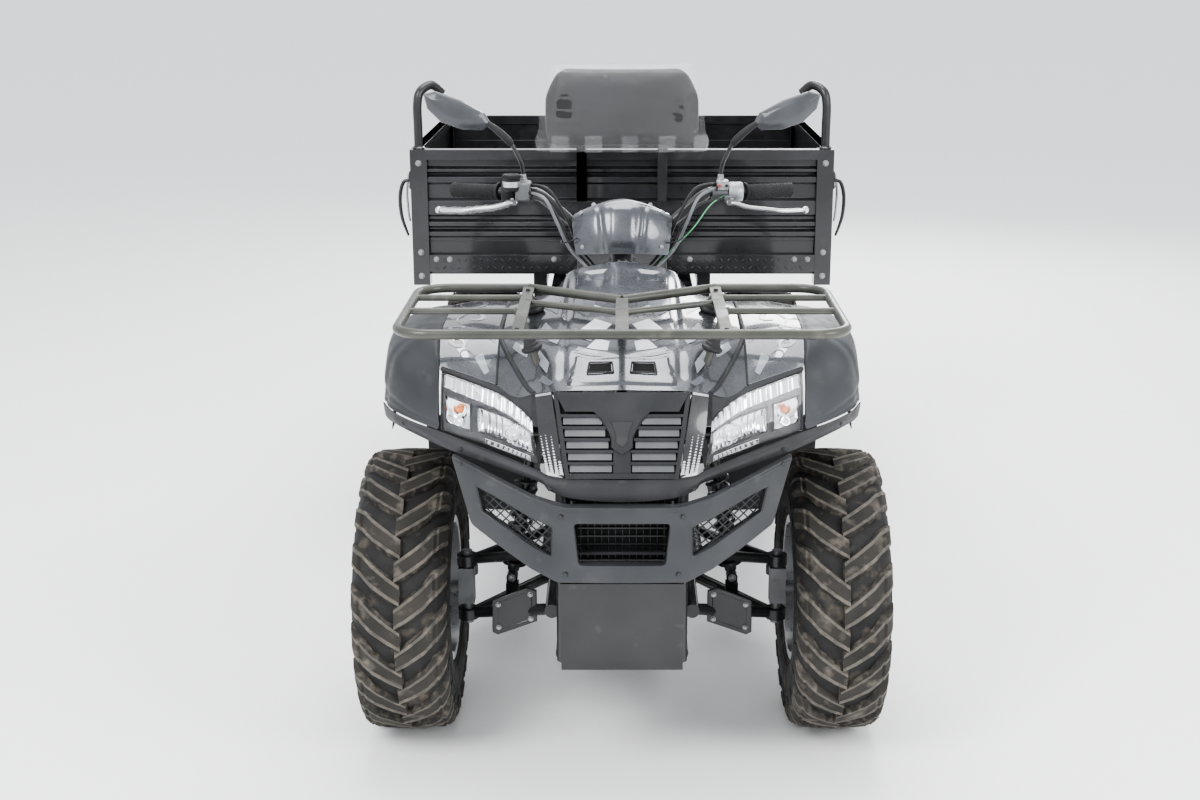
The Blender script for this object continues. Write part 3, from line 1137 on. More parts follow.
def stud(kit, centre, a, b, n, key, size=11):
    """One raised lozenge of tread plate, long along a."""
    a, b, n = Vector(a) * MM, Vector(b) * MM, Vector(n) * MM
    ring = [centre + a * size, centre + b * size * 0.33, centre - a * size, centre - b * size * 0.33]
    top = [centre + (p - centre) * 0.55 + n * 1.5 for p in ring]
    kit.add(ring + top, [[k, (k + 1) % 4, 4 + (k + 1) % 4, 4 + k] for k in range(4)] + [[4, 5, 6, 7]], key)


for i in range(int(2 * inner / 22) - 1):
    x = -inner + 22 + 22 * i
    for j in range(2):
        z = FLOOR_Z - 80 + 24 * j
        lean = 1 if (i + j) % 2 else -1
        stud(head, at(x, BED_START, z), (0.7, 0, 0.7 * lean), (-0.7 * lean, 0, 0.7), (0, -1, 0), "bed", 9)
for s in (-1, 1):
    for x in (205, 520, 560):
        bolt(head, at(s * x, BED_START, FLOOR_Z - 54), (0, -1, 0), 0.0065, "steel")
# Backrest's uprights
for s in (-1, 1):
    lo_x, hi_x = sorted((s * 105, s * 135))
    head.prism([at(lo_x, BED_START - 18, GATE_TOP - 150), at(hi_x, BED_START - 18, GATE_TOP - 150),
                at(hi_x, BED_START + 8, GATE_TOP - 150), at(lo_x, BED_START + 8, GATE_TOP - 150)],
               Vector((0, 0, 150 * MM)), "bed")
    head.prism([at(lo_x, BED_START - 18, GATE_TOP - 150), at(hi_x, BED_START - 18, GATE_TOP - 150),
                at(hi_x, BED_START - 8, GATE_TOP - 150), at(lo_x, BED_START - 8, GATE_TOP - 150)],
               Vector((0, 0, 370 * MM)), "bed")
head.make("headboard_panel", "bed", "headboard", bevel=0.0014, smooth=32)

hooks = Kit()
for s in (-1, 1):
    px = BX - POST / 2
    points = [at(s * px, BED_START + 24, GATE_TOP - 6), at(s * px, BED_START + 24, GATE_TOP + 60),
              at(s * px, BED_START + 24, GATE_TOP + 130), at(s * (px - 9), BED_START + 32, GATE_TOP + 168),
              at(s * (px - 40), BED_START + 60, GATE_TOP + 185),
              at(s * (px - 68), BED_START + 81, GATE_TOP + 161)]
    hooks.tube(points, 0.0132, "steel_black", sides=18, smooth=6)
    collar = at(s * px, BED_START + 24, GATE_TOP)
    hooks.lathe([(0, 0.0185), (0.004, 0.019), (0.008, 0.015), (0.008, 0.0132)], collar, (0, 0, 1), "bed",
                sides=28)
hooks.make("headboard_hooks", "bed", slot=NODE_SLOT["headboard"], smooth=45)


def gate(name, body, node, place, width, height):
    """A pressed-steel gate. place(x, depth, z) is a point: depth grows out of the bed."""
    kit = Kit()
    t, f = 30, 26
    for x0, x1, z0, z1 in ((0, width, 0, f), (0, width, height - f, height), (0, f, f, height - f),
                           (width - f, width, f, height - f)):
        ring = [place(x, d, z0) for x, d in ((x0, -t), (x1, -t), (x1, 0), (x0, 0))]
        kit.prism(ring, place(0, 0, z1) - place(0, 0, z0), "bed")
    profile = rib_profile(f - 2, height - f + 2, [(height * 0.24, 26), (height * 0.47, 26),
                                                  (height * 0.7, 26)],
                          -11, -19)
    pressed_sheet(kit, lambda x, d, h: place(x + f - 2, d, h), width - 2 * f + 4, profile, "bed")
    out = (place(0, 1, 0) - place(0, 0, 0)).normalized()
    for x in (f / 2, width - f / 2, width / 2):
        for z in (f / 2, height - f / 2):
            bolt(kit, place(x, -0.5, z) - out * 0.0006, out, 0.0045, "steel")
    return kit.make(name, body, bevel=0.0013, smooth=32, slot=NODE_SLOT[node])


GH = 270
Y0, Y1 = BED_START + POST + 5, BED_END - 30 - 5
for hand, s in (("left", 1), ("right", -1)):
    gate(f"side_gate_{hand}_panel", f"side_gate_{hand}", f"side_gate_{hand}",
         lambda x, d, z, s=s: at(s * (BX + d - 0.4), Y0 + x, FLOOR_Z + 5 + z), Y1 - Y0, GH)
gate("tailgate_panel", "tailgate", "tailgate", lambda x, d, z: at(x - BX, BED_END + d - 0.4,
    FLOOR_Z + 5 + z), 2 * BX, GH)

floor_studs = Kit()
for i in range(29):
    for j in range(24):
        x, y = -BX + 40 + 41.5 * i, BED_START + POST + 26 + 39.5 * j
        if abs(x) > BX - 36 or y > BED_END - 50:
            continue
        lean = 1 if (i + j) % 2 else -1
        stud(floor_studs, at(x, y, FLOOR_Z), (0.7, 0.7 * lean, 0), (-0.7 * lean, 0.7, 0), (0, 0, 1),
             "bed", 13)
floor_studs.make("bed_floor_studs", "bed", slot=NODE_SLOT["bed_floor"], smooth=30)

lamps = Kit()
for s in (-1, 1):
    x0, x1 = sorted((s * (BX - 148), s * (BX - 52)))
    lamps.prism([at(x0, BED_END + 0.4, FLOOR_Z - 71), at(x1, BED_END + 0.4, FLOOR_Z - 71),
                 at(x1, BED_END + 5, FLOOR_Z - 71),
                 at(x0, BED_END + 5, FLOOR_Z - 71)], Vector((0, 0, 38 * MM)), "matte")
    for k, key in enumerate(("red_lens", "red_lens", "amber")):
        a, b = x0 + 3 + k * (x1 - x0 - 6) / 3, x0 + 1 + (k + 1) * (x1 - x0 - 6) / 3
        lamps.prism([at(a, BED_END + 5, FLOOR_Z - 68), at(b, BED_END + 5, FLOOR_Z - 68),
                     at(b, BED_END + 11.5, FLOOR_Z - 67),
                     at(a, BED_END + 11.5, FLOOR_Z - 67)], Vector((0, 0, 31 * MM)), key)
lamps.make("tail_lamp_units", "bed", "tail_lamps", bevel=0.0012)

# Over-centre latches hanging at the sides of the posts
latch = Kit()
for s in (-1, 1):
    x, y, z = BX, BED_START + 25, GATE_TOP - 105
    lo_x, hi_x = sorted((s * (x + 0.4), s * (x + 5)))
    latch.prism([at(lo_x, y - 15, z - 13), at(hi_x, y - 15, z - 13), at(hi_x, y + 15, z - 13),
                 at(lo_x, y + 15, z - 13)],
                Vector((0, 0, 52 * MM)), "steel_black")
    points = [at(s * (x + 5), y, z + 12), at(s * (x + 25), y, z + 4), at(s * (x + 36), y, z - 40),
              at(s * (x + 32), y, z - 100), at(s * (x + 14), y, z - 156)]
    latch.tube(points, [0.005, 0.0055, 0.0055, 0.0052, 0.0035], "steel_black", sides=12, smooth=7, flat=1.0)
    latch.tube([at(s * (x + 7), y, z + 30), at(s * (x + 14), y, z - 20), at(s * (x + 12), y, z - 80),
                at(s * (x + 8), y, z - 112)], 0.0032, "steel", sides=10, smooth=6)
    for dz in (-6, 30):
        bolt(latch, at(s * (x + 5), y - 8, z + dz), (s, 0, 0), 0.0035, "steel")
latch.make("bed_latch_handles", "bed", "bed_latches", bevel=0.0006, smooth=40)


# --- Padded pieces ---------------------------------------------------------
def loft_pad(kit, sections, key, sides=40, power=3.2):
    """A closed cushion from sections of (centre, half width, half depth), up or along."""
    rows = []
    for c, across, a, through, b in sections:
        ring = []
        for k in range(sides):
            t = 2 * math.pi * k / sides
            cu, su = math.cos(t), math.sin(t)
            r = (abs(cu) ** power + abs(su) ** power) ** (-1 / power)
            ring.append(Vector(c) + Vector(across) * (a * r * cu) + Vector(through) * (b * r * su))
        rows.append(ring)
    kit.grid(rows, key, wrap=True)
    base, slot = len(kit.verts) - len(rows) * sides, kit.look(key)
    for start in (0, (len(rows) - 1) * sides):
        centre = sum((kit.verts[base + start + k] for k in range(sides)), Vector()) / sides
        kit.verts.append(centre)
        hub = len(kit.verts) - 1
        for k in range(sides):
            kit.faces.append([base + start + k, base + start + (k + 1) % sides, hub])
            kit.looks.append(slot)


def puff(obj, cap, pressure=4.0, voxel=0.006):
    """Blows a closed cover up like stuffed cloth, moving no point by more than cap metres."""
    bpy.context.view_layer.objects.active = obj
    for o in bpy.context.selected_objects:
        o.select_set(False)
    obj.select_set(True)
    remesh = obj.modifiers.new("even", "REMESH")
    remesh.mode, remesh.voxel_size = "VOXEL", voxel
    bpy.ops.object.modifier_apply(modifier="even")
    start = [v.co.copy() for v in obj.data.vertices]
    cloth = obj.modifiers.new("cloth", "CLOTH")
    cloth.settings.use_pressure = True
    cloth.settings.uniform_pressure_force = pressure
    cloth.settings.quality = 5
    cloth.settings.tension_stiffness = cloth.settings.compression_stiffness = 12
    cloth.settings.effector_weights.gravity = 0
    cloth.point_cache.frame_start, cloth.point_cache.frame_end = 1, 20
    scene = bpy.context.scene
    for n in range(1, 21):
        scene.frame_set(n)
    moved = obj.evaluated_get(bpy.context.evaluated_depsgraph_get()).to_mesh()
    ends = [v.co.copy() for v in moved.vertices]
    obj.modifiers.remove(cloth)
    scene.frame_set(1)
    for v, a, b in zip(obj.data.vertices, start, ends):
        d = b - a
        v.co = a + (d if d.length <= cap else d * (cap / d.length))


def soften(obj, rounds):
    """Smooths a cover's surface."""
    bm = bmesh.new()
    bm.from_mesh(obj.data)
    for _ in range(rounds):
        bmesh.ops.smooth_vert(bm, verts=bm.verts, factor=0.5, use_axis_x=True, use_axis_y=True,
                              use_axis_z=True)
    bm.to_mesh(obj.data)
    bm.free()
    obj.data.shade_smooth()


# Saddle: a stepped cushion with a sewn cover
S0, S1 = 702, 1283
seat_kit = Kit()
SEAT_TOP = [(S0, 876), (760, 870), (820, 863), (900, 858), (980, 857), (1060, 860), (1150, 868), (1215, 880),
            (1262, 886), (S1, 872)]
sections = []
for i, (y, top) in enumerate(SEAT_TOP):
    end = 0.62 if i in (0, len(SEAT_TOP) - 1) else 0.92 if i in (1, len(SEAT_TOP) - 2) else 1
    half = (92 + 42 * step(y, 740, 1000)) * (1 if i else 0.96)
    low = 802
    mid, h = (top + low) / 2, (top - low) / 2
    sections.append((at(0, y, mid), (1, 0, 0), half * MM * (0.9 + 0.1 * end), (0, 0, 1), h * MM * end))
loft_pad(seat_kit, sections, "vinyl", sides=56, power=4.5)
saddle = seat_kit.make("seat_cushion", "chassis", "seat", smooth=180)
puff(saddle, 0.006, pressure=3.0)
soften(saddle, 3)
saddle.modifiers.new("fine", "SUBSURF").levels = 1
piping = Kit()
for s in (-1, 1):
    run = []
    for y, top in SEAT_TOP[1:-1]:
        half = 92 + 42 * step(y, 740, 1000)
        run.append(at(s * half * 0.93, y, top - 7))
    piping.tube(run, 0.0028, "vinyl", sides=10, smooth=5)
run = [at(x, 985 + 0.05 * abs(x), 860.5 - 0.0006 * x * x) for x in range(-120, 121, 20)]
piping.tube(run, 0.0024, "vinyl", sides=10, smooth=3)
piping.make("seat_piping", "chassis", slot=NODE_SLOT["seat"], smooth=180)

# Backrest in its clear wrapper
PAD = [Vector(v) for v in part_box("backrest_pad")]
pc = (PAD[0] + PAD[1]) / 2
ph = (PAD[1] - PAD[0]) / 2
pad_kit = Kit()
sections = []
for k in range(15):
    f = -1 + 2 * k / 14
    z = pc.z + f * (ph.z - 0.012)
    curve = max(0.0, 1 - abs(f) ** 5) ** 0.5
    taper = 1 - 0.12 * step(f, 0.1, 1.0)
    sections.append(((pc.x, pc.y, z), (1, 0, 0), (ph.x - 0.013) * taper * (0.84 + 0.16 * curve),
                     (0, 1, 0), (ph.y - 0.012) * (0.35 + 0.65 * curve)))
loft_pad(pad_kit, sections, "vinyl", sides=64, power=3.4)
backrest = pad_kit.make("backrest_cushion", "bed", "backrest_pad", smooth=180)
puff(backrest, 0.008, pressure=3.5)
soften(backrest, 3)
backrest.modifiers.new("fine", "SUBSURF").levels = 1

# The wrapper: a loose clear bag drawn tight round the pad, with folds at its foot and loose corners
random.seed(11)
folds = [(random.uniform(-1, 1), random.uniform(-0.9, 0.9), random.uniform(0, math.pi),
          random.uniform(0.05, 0.16),
          random.uniform(0.0012, 0.0036)) for _ in range(46)]
rows = []
ROWS, SIDES = 64, 132
for i in range(ROWS + 1):
    f = -1 + 2 * i / ROWS
    curve = max(0.0, 1 - abs(f) ** 6) ** 0.5 if f > 0 else 1.0
    taper = 1 - 0.10 * step(f, 0.1, 1.0)
    ring = []
    for k in range(SIDES):
        t = 2 * math.pi * k / SIDES
        cu, su = math.cos(t), math.sin(t)
        r = (abs(cu) ** 3.0 + abs(su) ** 3.0) ** (-1 / 3.0)
        x = (ph.x - 0.004) * taper * (0.86 + 0.14 * curve) * r * cu
        y = (ph.y - 0.003) * (0.3 + 0.7 * curve) * r * su
        z = f * (ph.z - 0.004)
        wave = 0.0
        for fx, fz, a, w, h in folds:
            u = (cu - fx) * math.cos(a) + (f - fz) * math.sin(a)
            v = -(cu - fx) * math.sin(a) + (f - fz) * math.cos(a)
            wave += h * math.exp(-(v / (w * 0.22)) ** 2) * math.exp(-(u / 0.55) ** 2)
        gather = 0.0035 * math.sin(17 * t + 3 * f) * step(-f, 0.55, 1.0)
        flap = 0.012 * step(abs(cu), 0.8, 1.0) * step(-f, 0.2, 0.8) * (0.6 + 0.4 * math.sin(9 * f + 2))
        out = Vector((cu, su * 0.9, 0)).normalized() * (wave * 0.8 + gather) + Vector((math.copysign(flap,
            cu), 0, 0))
        ring.append(Vector((pc.x + x, pc.y + y, pc.z + z)) + out)
    rows.append(ring)
bag = Kit()
bag.grid(rows, "film", wrap=True)
slot = bag.look("film")
start = ROWS * SIDES
bag.verts.append(sum((bag.verts[start + k] for k in range(SIDES)), Vector()) / SIDES)
for k in range(SIDES):
    bag.faces.append([start + k, start + (k + 1) % SIDES, len(bag.verts) - 1])
    bag.looks.append(slot)
creases = bag.look("film_fold")
wrapper = bag.make("backrest_wrapper", "bed", slot=NODE_SLOT["backrest_pad"], smooth=180)
for p in wrapper.data.polygons:
    n = p.normal
    z = (p.center.z - pc.z) / ph.z
    if z > 0.78 or (z < -0.62 and math.sin(60 * p.center.x) > 0.1) or abs(n.z) > 0.55 and z > 0:
        p.material_index = creases


# --- Handlebar, controls and mirrors -----------------------------------------
def lathe_at(kit, a, b, profile, key, sides=40):
    """Turns profile about the line from a towards b, with its lengths in millimetres from a."""
    axis = (at(*b) - at(*a)).normalized()
    kit.lathe([(s * MM, r * MM) for s, r in profile], at(*a), axis, key, sides=sides)


BEND, GRIP_IN, GRIP_OUT = (205, 352, 1171), (288, 362, 1170), (404, 422, 1166)
bars = Kit()
for s in (-1, 1):
    bars.tube([at(s * x, y, z) for x, y, z in ((4, 322, 1046), (58, 325, 1055), (150, 341, 1132), BEND,
                                               GRIP_IN,
                                               (396, 418, 1166))], 0.0108, "steel_black", sides=20, smooth=5)
bars.tube([at(-62, 325, 1056), at(62, 325, 1056)], 0.0108, "steel_black", sides=20)
for s in (-1, 1):
    bars.block(at(s * 44 - 14, 306, 1034), at(s * 44 + 14, 344, 1074), "cast")
bars.make("handlebar_tube", "steering", slot=NODE_SLOT["handlebar"], smooth=50)

grips = Kit()
grip_long = (Vector(GRIP_OUT) - Vector(GRIP_IN)).length
for s in (-1, 1):
    a, b = [(s * p[0], p[1], p[2]) for p in (GRIP_IN, GRIP_OUT)]
    profile = [(-1, 12), (-1, 21), (4, 21.5), (7, 17)]
    k = 9
    while k < grip_long - 10:
        profile += [(k, 16.8), (k + 1.2, 15.9), (k + 2.4, 16.8), (k + 5, 17.0)]
        k += 6
    profile += [(grip_long - 6, 17), (grip_long - 4, 18.2), (grip_long, 17), (grip_long + 1, 10),
                (grip_long + 1, 0.1)]
    lathe_at(grips, a, b, profile, "grip", 44)
    axis = (Vector(b) - Vector(a)).normalized()
    u = axis.orthogonal().normalized()
    v = axis.cross(u)
    for row in range(14):
        for col in range(18):
            t = 2 * math.pi * (col + 0.5 * (row % 2)) / 18
            c = (Vector(a) + axis * (14 + row * (grip_long - 28) / 13)
                 + (u * math.cos(t) + v * math.sin(t)) * 16.7)
            n = (u * math.cos(t) + v * math.sin(t))
            w = axis.cross(n)
            ring = [c + axis * 3.0, c + w * 1.9, c - axis * 3.0, c - w * 1.9]
            grips.add([at(*p) for p in ring] + [at(*(c + n * 1.1))],
                      [[0, 1, 4], [1, 2, 4], [2, 3, 4], [3, 0, 4]], "grip")
grips.make("grip_sleeves", "steering", "grips", smooth=40)

controls = Kit()


def housing(kit, s, a, b, key, r=5):
    """A rounded control housing between two corners."""
    (x0, y0, z0), (x1, y1, z1) = a, b
    outline = rounded([(x0, z0), (x1, z0), (x1, z1), (x0, z1)], r)
    n = len(outline)
    rows = []
    for y, shrink in ((y0, 0.82), (y0 + 3, 0.97), (y0 + 7, 1.0), (y1 - 7, 1.0), (y1 - 3, 0.97), (y1, 0.82)):
        cx, cz = (x0 + x1) / 2, (z0 + z1) / 2
        rows.append([at(s * (cx + (x - cx) * shrink), y, cz + (z - cz) * shrink) for x, z in outline])
    kit.grid(rows, key, wrap=True)
    for row, flip in ((rows[0], True), (rows[-1], False)):
        kit.add(row, [list(reversed(range(n))) if flip else list(range(n))], key)


# Throttle and brake cylinder, on the picture's left
housing(controls, -1, (214, 318, 1152), (250, 376, 1196), "cast")
housing(controls, -1, (222, 334, 1176), (250, 366, 1200), "cast", 3)
lathe_at(controls, (-258, 326, 1176), (-258, 326, 1230), [(0, 14), (4, 19), (30, 20), (32, 21), (38, 21),
                                                          (40, 19.5),
                                                          (40, 13), (38.5, 12), (38.5, 0.1)],
         "soft_rubber", 44)
lathe_at(controls, (-258, 326, 1190), (-258, 326, 1230), [(-3, 20.6), (10, 20.8)], "alloy", 44)
for k in range(24):
    t = 2 * math.pi * k / 24
    c = at(-258 + 21 * math.cos(t), 326 + 21 * math.sin(t), 1207.5)
    controls.tube([c, c + Vector((0, 0, 0.006))], 0.0014, "soft_rubber", sides=6)
b0, b1 = (-BEND[0], BEND[1], BEND[2]), (-GRIP_IN[0], GRIP_IN[1], GRIP_IN[2])
lathe_at(controls, b0, b1, [(46, 12), (46, 21), (49, 23), (75, 23), (78, 21), (80, 12)], "soft_rubber", 44)
lathe_at(controls, b0, b1, [(8, 12), (8, 17), (10, 18), (43, 18), (45, 16), (45, 12)], "cast", 36)
# Switch housing, on the picture's right
b0, b1 = BEND, GRIP_IN
lathe_at(controls, b0, b1, [(6, 12), (6, 17), (8, 18), (42, 18), (44, 16)], "cast", 36)
lathe_at(controls, b0, b1, [(44, 12), (44, 21), (47, 23), (60, 23.2), (60.5, 22.4), (62, 22.4),
                            (62.5, 23.2), (76, 23),
                            (79, 21), (79, 12)], "switch", 44)
housing(controls, 1, (222, 334, 1176), (250, 366, 1200), "switch", 4)
housing(controls, 1, (238, 318, 1150), (268, 350, 1166), "cast", 4)
for x, key in ((228, "red"), (237, "switch"), (245, "soft_rubber")):
    controls.lathe([(0, 0.0034), (0.003, 0.0033), (0.0045, 0.0024), (0.0045, 0.00005)],
                   at(x, 334.5, 1188), (0, -1, 0),
                   key, sides=20)
for s in (-1, 1):
    for x, z in ((226, 1180), (246, 1180)):
        bolt(controls, at(s * x, 333.8, z), (0, -1, 0), 0.0024, "steel")
controls.make("control_housings", "steering", "hand_controls", bevel=0.0006, smooth=38)

levers = Kit()
for s in (-1, 1):
    key = "alloy"
    path = [(246, 310, 1152), (262, 304, 1151), (296, 300, 1142), (336, 302, 1138), (372, 306, 1134),
            (428, 328, 1132)]
    levers.tube([at(s * x, y, z) for x, y, z in path], [0.0052, 0.0058, 0.0055, 0.005, 0.0046, 0.0042],
                key, sides=20,
                smooth=6, flat=1.0)
    levers.lathe([(-0.0084, 0.0002), (-0.0075, 0.0038), (-0.005, 0.0068), (0, 0.0085), (0.005, 0.0068),
                  (0.0075, 0.0038), (0.0084, 0.0002)], at(s * 430, 329, 1132), (s, 0.3, 0), key, sides=28)
    x0, x1 = sorted((s * 246, s * 270))
    levers.block(at(x0, 300.4, 1146.4), at(x1, 317.3, 1157.6), "cast")
    bolt(levers, at(s * 256, 308, 1158), (0, 0, 1), 0.0045, "steel")
levers.make("lever_blades", "steering", "brake_levers", bevel=0.0008, smooth=40)

# Torn packing film left round one lever
random.seed(5)
wrap_rows = []
lever_path = [at(-x, y, z) for x, y, z in ((262, 304, 1151), (296, 300, 1142), (336, 302, 1138),
                                           (372, 306, 1134),
                                           (428, 328, 1132))]
for i in range(49):
    c = along(lever_path, i / 12)
    row = []
    for k in range(31):
        t = 2 * math.pi * k / 28
        r = (0.0072 + 0.0012 * math.sin(3 * t + i * 0.9) + 0.0009 * math.sin(5 * t - i * 1.7)
             + random.uniform(-4e-4, 6e-4))
        r += 0.0008 * k / 28 + 0.0012 * max(0, k - 27)  # the loose edge stands off
        row.append(c + Vector((0, math.cos(t), math.sin(t))) * r)
    wrap_rows.append(row)
film = Kit()
film.grid(wrap_rows, "film_fold")
film_wrap = film.make("lever_wrapper", "steering", slot=NODE_SLOT["brake_levers"], smooth=180)

cables = Kit()
RUNS = [
    (-1, [(218, 330, 1162), (174, 298, 1152), (140, 292, 1104), (112, 318, 1040), (62, 302, 985),
          (40, 274, 930)]),
    (-1, [(218, 324, 1174), (178, 282, 1164), (150, 278, 1108), (122, 300, 1044), (72, 288, 990),
          (52, 262, 940)]),
    (-1, [(218, 346, 1188), (172, 314, 1182), (132, 312, 1120), (102, 332, 1046), (54, 318, 985),
          (30, 296, 930)]),
    (1, [(242, 328, 1158), (180, 298, 1150), (140, 292, 1104), (112, 318, 1040), (62, 302, 985),
         (40, 274, 930)]),
    (1, [(228, 344, 1184), (178, 284, 1168), (150, 278, 1108), (122, 300, 1044), (72, 288, 990),
         (52, 262, 940)]),
    (1, [(228, 352, 1190), (172, 318, 1184), (132, 312, 1120), (102, 332, 1046), (54, 318, 985),
         (30, 296, 930)])]
for n, (s, run) in enumerate(RUNS):
    run = [at(s * x, y, z) for x, y, z in run]
    key = "cable_grey" if n in (1, 4) else "cable"
    cables.tube(run, 0.0036, key, sides=14, smooth=12)
    for a, b in ((0.0, 0.28), (4.4, 4.9)):
        p, q = along(run, a), along(run, b)
        cables.tube([p, q], [0.0048, 0.0042], "soft_rubber", sides=16)
green = [at(x, y, z) for x, y, z in ((246, 346, 1166), (206, 300, 1148), (168, 290, 1098),
                                     (132, 300, 1058), (92, 300, 1016),
                                     (60, 296, 972))]
cables.tube(green, 0.0016, "green", sides=10, smooth=12)
for s in (-1, 1):
    c = at(s * 124, 304, 1066)
    cables.tube([c + Vector((0.02 * math.cos(t), 0.03 * math.sin(t), 0.006 * math.cos(t)))
                 for t in (2 * math.pi * k / 22 for k in range(23))], 0.0016, "soft_rubber", sides=8)
cables.make("cable_bundle", "steering", "control_cables", smooth=60)

mirrors = Kit()
HEADS = [(304, 1332), (322, 1317), (372, 1319), (420, 1336), (450, 1366), (458, 1400), (430, 1406),
         (372, 1386), (318, 1357)]
mc = (sum(p[0] for p in HEADS) / 9, sum(p[1] for p in HEADS) / 9)
for s in (-1, 1):
    mirrors.lathe([(-0.004, 0.009), (0.012, 0.009), (0.014, 0.0078), (0.022, 0.0075), (0.023, 0.005)],
                  at(s * 232, 354, 1190), (0, 0, 1), "steel", sides=6)
    mirrors.tube([at(s * x, y, z) for x, y, z in ((232, 354, 1204), (233, 350, 1226), (240, 342, 1250),
                                                  (268, 334, 1300),
                                                  (322, 326, 1342))], 0.0048, "steel_black", sides=16,
                 smooth=7)
    mirrors.tube([at(s * x, y, z) for x, y, z in ((258, 337, 1282), (264, 335.5, 1293), (288, 331, 1316),
                                                  (312, 327, 1334))],
                 [0.0066, 0.009, 0.0085, 0.0062], "soft_rubber", sides=18, smooth=4)

    def shrunk(f, y):
        return [at(s * (mc[0] + (x - mc[0]) * f), y, mc[1] + (z - mc[1]) * f) for x, z in HEADS]
    rows = [shrunk(f, y) for f, y in ((0.28, 312.6), (0.55, 313.2), (0.74, 316), (0.95, 323), (1.0, 329),
                                      (1.0, 336.5),
                                      (0.985, 338))]
    mirrors.grid(rows, "mirror_shell", wrap=True)
    mirrors.add(rows[0], [list(range(9))], "mirror_shell")
    mirrors.grid([shrunk(0.985, 338), shrunk(0.93, 338), shrunk(0.92, 336.2)], "mirror_shell", wrap=True)
    mirrors.add(shrunk(0.92, 336.2), [list(range(9))], "mirror_glass")
mirrors.make("mirror_heads", "steering", "mirrors", bevel=0.0008, smooth=24)

pod = Kit()
POD_ALL = both(POD)


def pod_shape(u, v, p):
    q = p.copy()
    x = abs(p.x)
    q.y += 5.0 * math.exp(-((x - 40 - 6 * u) / 6.5) ** 2) * (1 - step(u, 2.6, 3.2))
    q.y -= 2.5 * (1 - step(x, 20, 30)) * step(u, 0.3, 0.7) * (1 - step(u, 1.9, 2.3))
    q.z -= 4.0 * math.exp(-((u - 2.75) / 0.14) ** 2)
    return q


panel(pod, POD_ALL, 84, 84, "pod", 4.0, pod_shape)
for s in (-1, 1):
    for u, v in ((0.35, 1.55), (2.2, 1.6), (3.5, 1.3)):
        p = net_point(POD, u, v)
        bolt(pod, at(s * p.x, p.y - 2, p.z + 1), (0, -1, 0.4), 0.004, "steel")
pod.make("pod_cover", "steering", "handlebar_pod", smooth=30)

tank = Kit()
TANK_ALL = both(TANK)


def tank_shape(u, v, p):
    q = p.copy()
    x = abs(p.x)
    q.z -= 3.5 * math.exp(-((x - 84) / 5.0) ** 2) * step(u, 0.3, 0.7)
    q.z += 3.0 * (1 - step(x, 30, 52)) * step(u, 0.6, 1.1) * (1 - step(u, 2.4, 2.8))
    return q


panel(tank, TANK_ALL, 72, 96, "gloss", 4.5, tank_shape)
tank.lathe([(0, 0.046), (0.004, 0.046), (0.006, 0.034), (0.022, 0.033), (0.026, 0.03), (0.026, 0.0001)],
           at(0, 520, 962), (0, 0, 1), "soft_rubber", sides=48)
for side in (-1, 1):
    rows_side = TANK if side > 0 else [[(-p[0], p[1], p[2]) for p in r] for r in TANK]
    for key, outline in (("white", [(0.15, 2.2), (2.5, 2.35), (2.3, 3.1), (0.25, 3.3)]),
                         ("grey", [(0.3, 3.35), (2.0, 3.2), (2.4, 3.7), (0.3, 3.8)]),
                         ("white", [(0.08, 1.5), (0.9, 1.55), (0.8, 1.95), (0.1, 2.0)]),
                         ("dark_grey", [(1.1, 1.4), (2.5, 1.6), (2.6, 2.0), (1.2, 1.9)])):
        decal(tank, rows_side, outline, key, lift=2.4, steps=12)
tank.make("tank_shell", "chassis", "tank_cover", smooth=30)

# --- Under the panels ---------------------------------------------------------
sides = Kit()
COVER = [(735, 640), (735, 790), (1285, 790), (1285, 740), (1060, 730), (1000, 640)]
for s in (-1, 1):
    def side_ring(x, f):
        cy, cz = 985, 735
        return [at(s * x, cy + (y - cy) * f, cz + (z - cz) * f) for y, z in COVER]
    rows = [side_ring(x, f) for x, f in ((128, 1.0), (133.4, 1.0), (134.4, 0.985), (134.4, 0.93),
                                         (132.8, 0.9),
                                         (132.8, 0.35))]
    sides.grid(rows, "gloss_black", wrap=True)
    for ring in (rows[0], rows[-1]):
        sides.add(ring, [list(range(6))], "gloss_black")
    for y, z in ((755, 770), (1262, 765), (755, 665), (985, 662)):
        bolt(sides, at(s * 134.2, y, z), (s, 0, 0), 0.005, "steel")
sides.block(at(-138, 706, 790.3), at(138, 1284, 799.3), "matte")
sides.make("side_cover_panels", "chassis", "side_covers", bevel=0.001, smooth=30)

springs = Kit()
for s in (-1, 1):
    a, b = Vector((s * 250, 0, 344)), Vector((s * 200, 0, 658.7))
    axis = (b - a).normalized()
    long = (b - a).length
    u = axis.orthogonal().normalized()
    v = axis.cross(u)
    helix = []
    turns, n = 8.5, 190
    for k in range(n + 1):
        f = 0.12 + 0.68 * k / n
        t = 2 * math.pi * turns * k / n
        helix.append(at(*(a + axis * long * f + (u * math.cos(t) + v * math.sin(t)) * 23.5)))
    springs.tube(helix, 0.0045, "steel_black", sides=10)
    springs.lathe([(x * long * MM, r * MM) for x, r in ((0.05, 1), (0.05, 13), (0.1, 15), (0.1, 27),
                                                        (0.125, 28), (0.13, 15),
                                                        (0.5, 14.5), (0.5, 9), (0.79, 9), (0.79, 27),
                                                        (0.815, 28),
                                                        (0.82, 12), (0.93, 11), (0.93, 1))],
                  at(*a), axis, "steel_black", sides=36)
    for p in (a, b):
        springs.lathe([(-0.013, 0.004), (-0.013, 0.013), (0.013, 0.013), (0.013, 0.004)], at(*p),
                      (0, 1, 0), "steel_black",
                      sides=28)
        bolt(springs, at(p.x, p.y - 14, p.z), (0, -1, 0), 0.007, "steel")
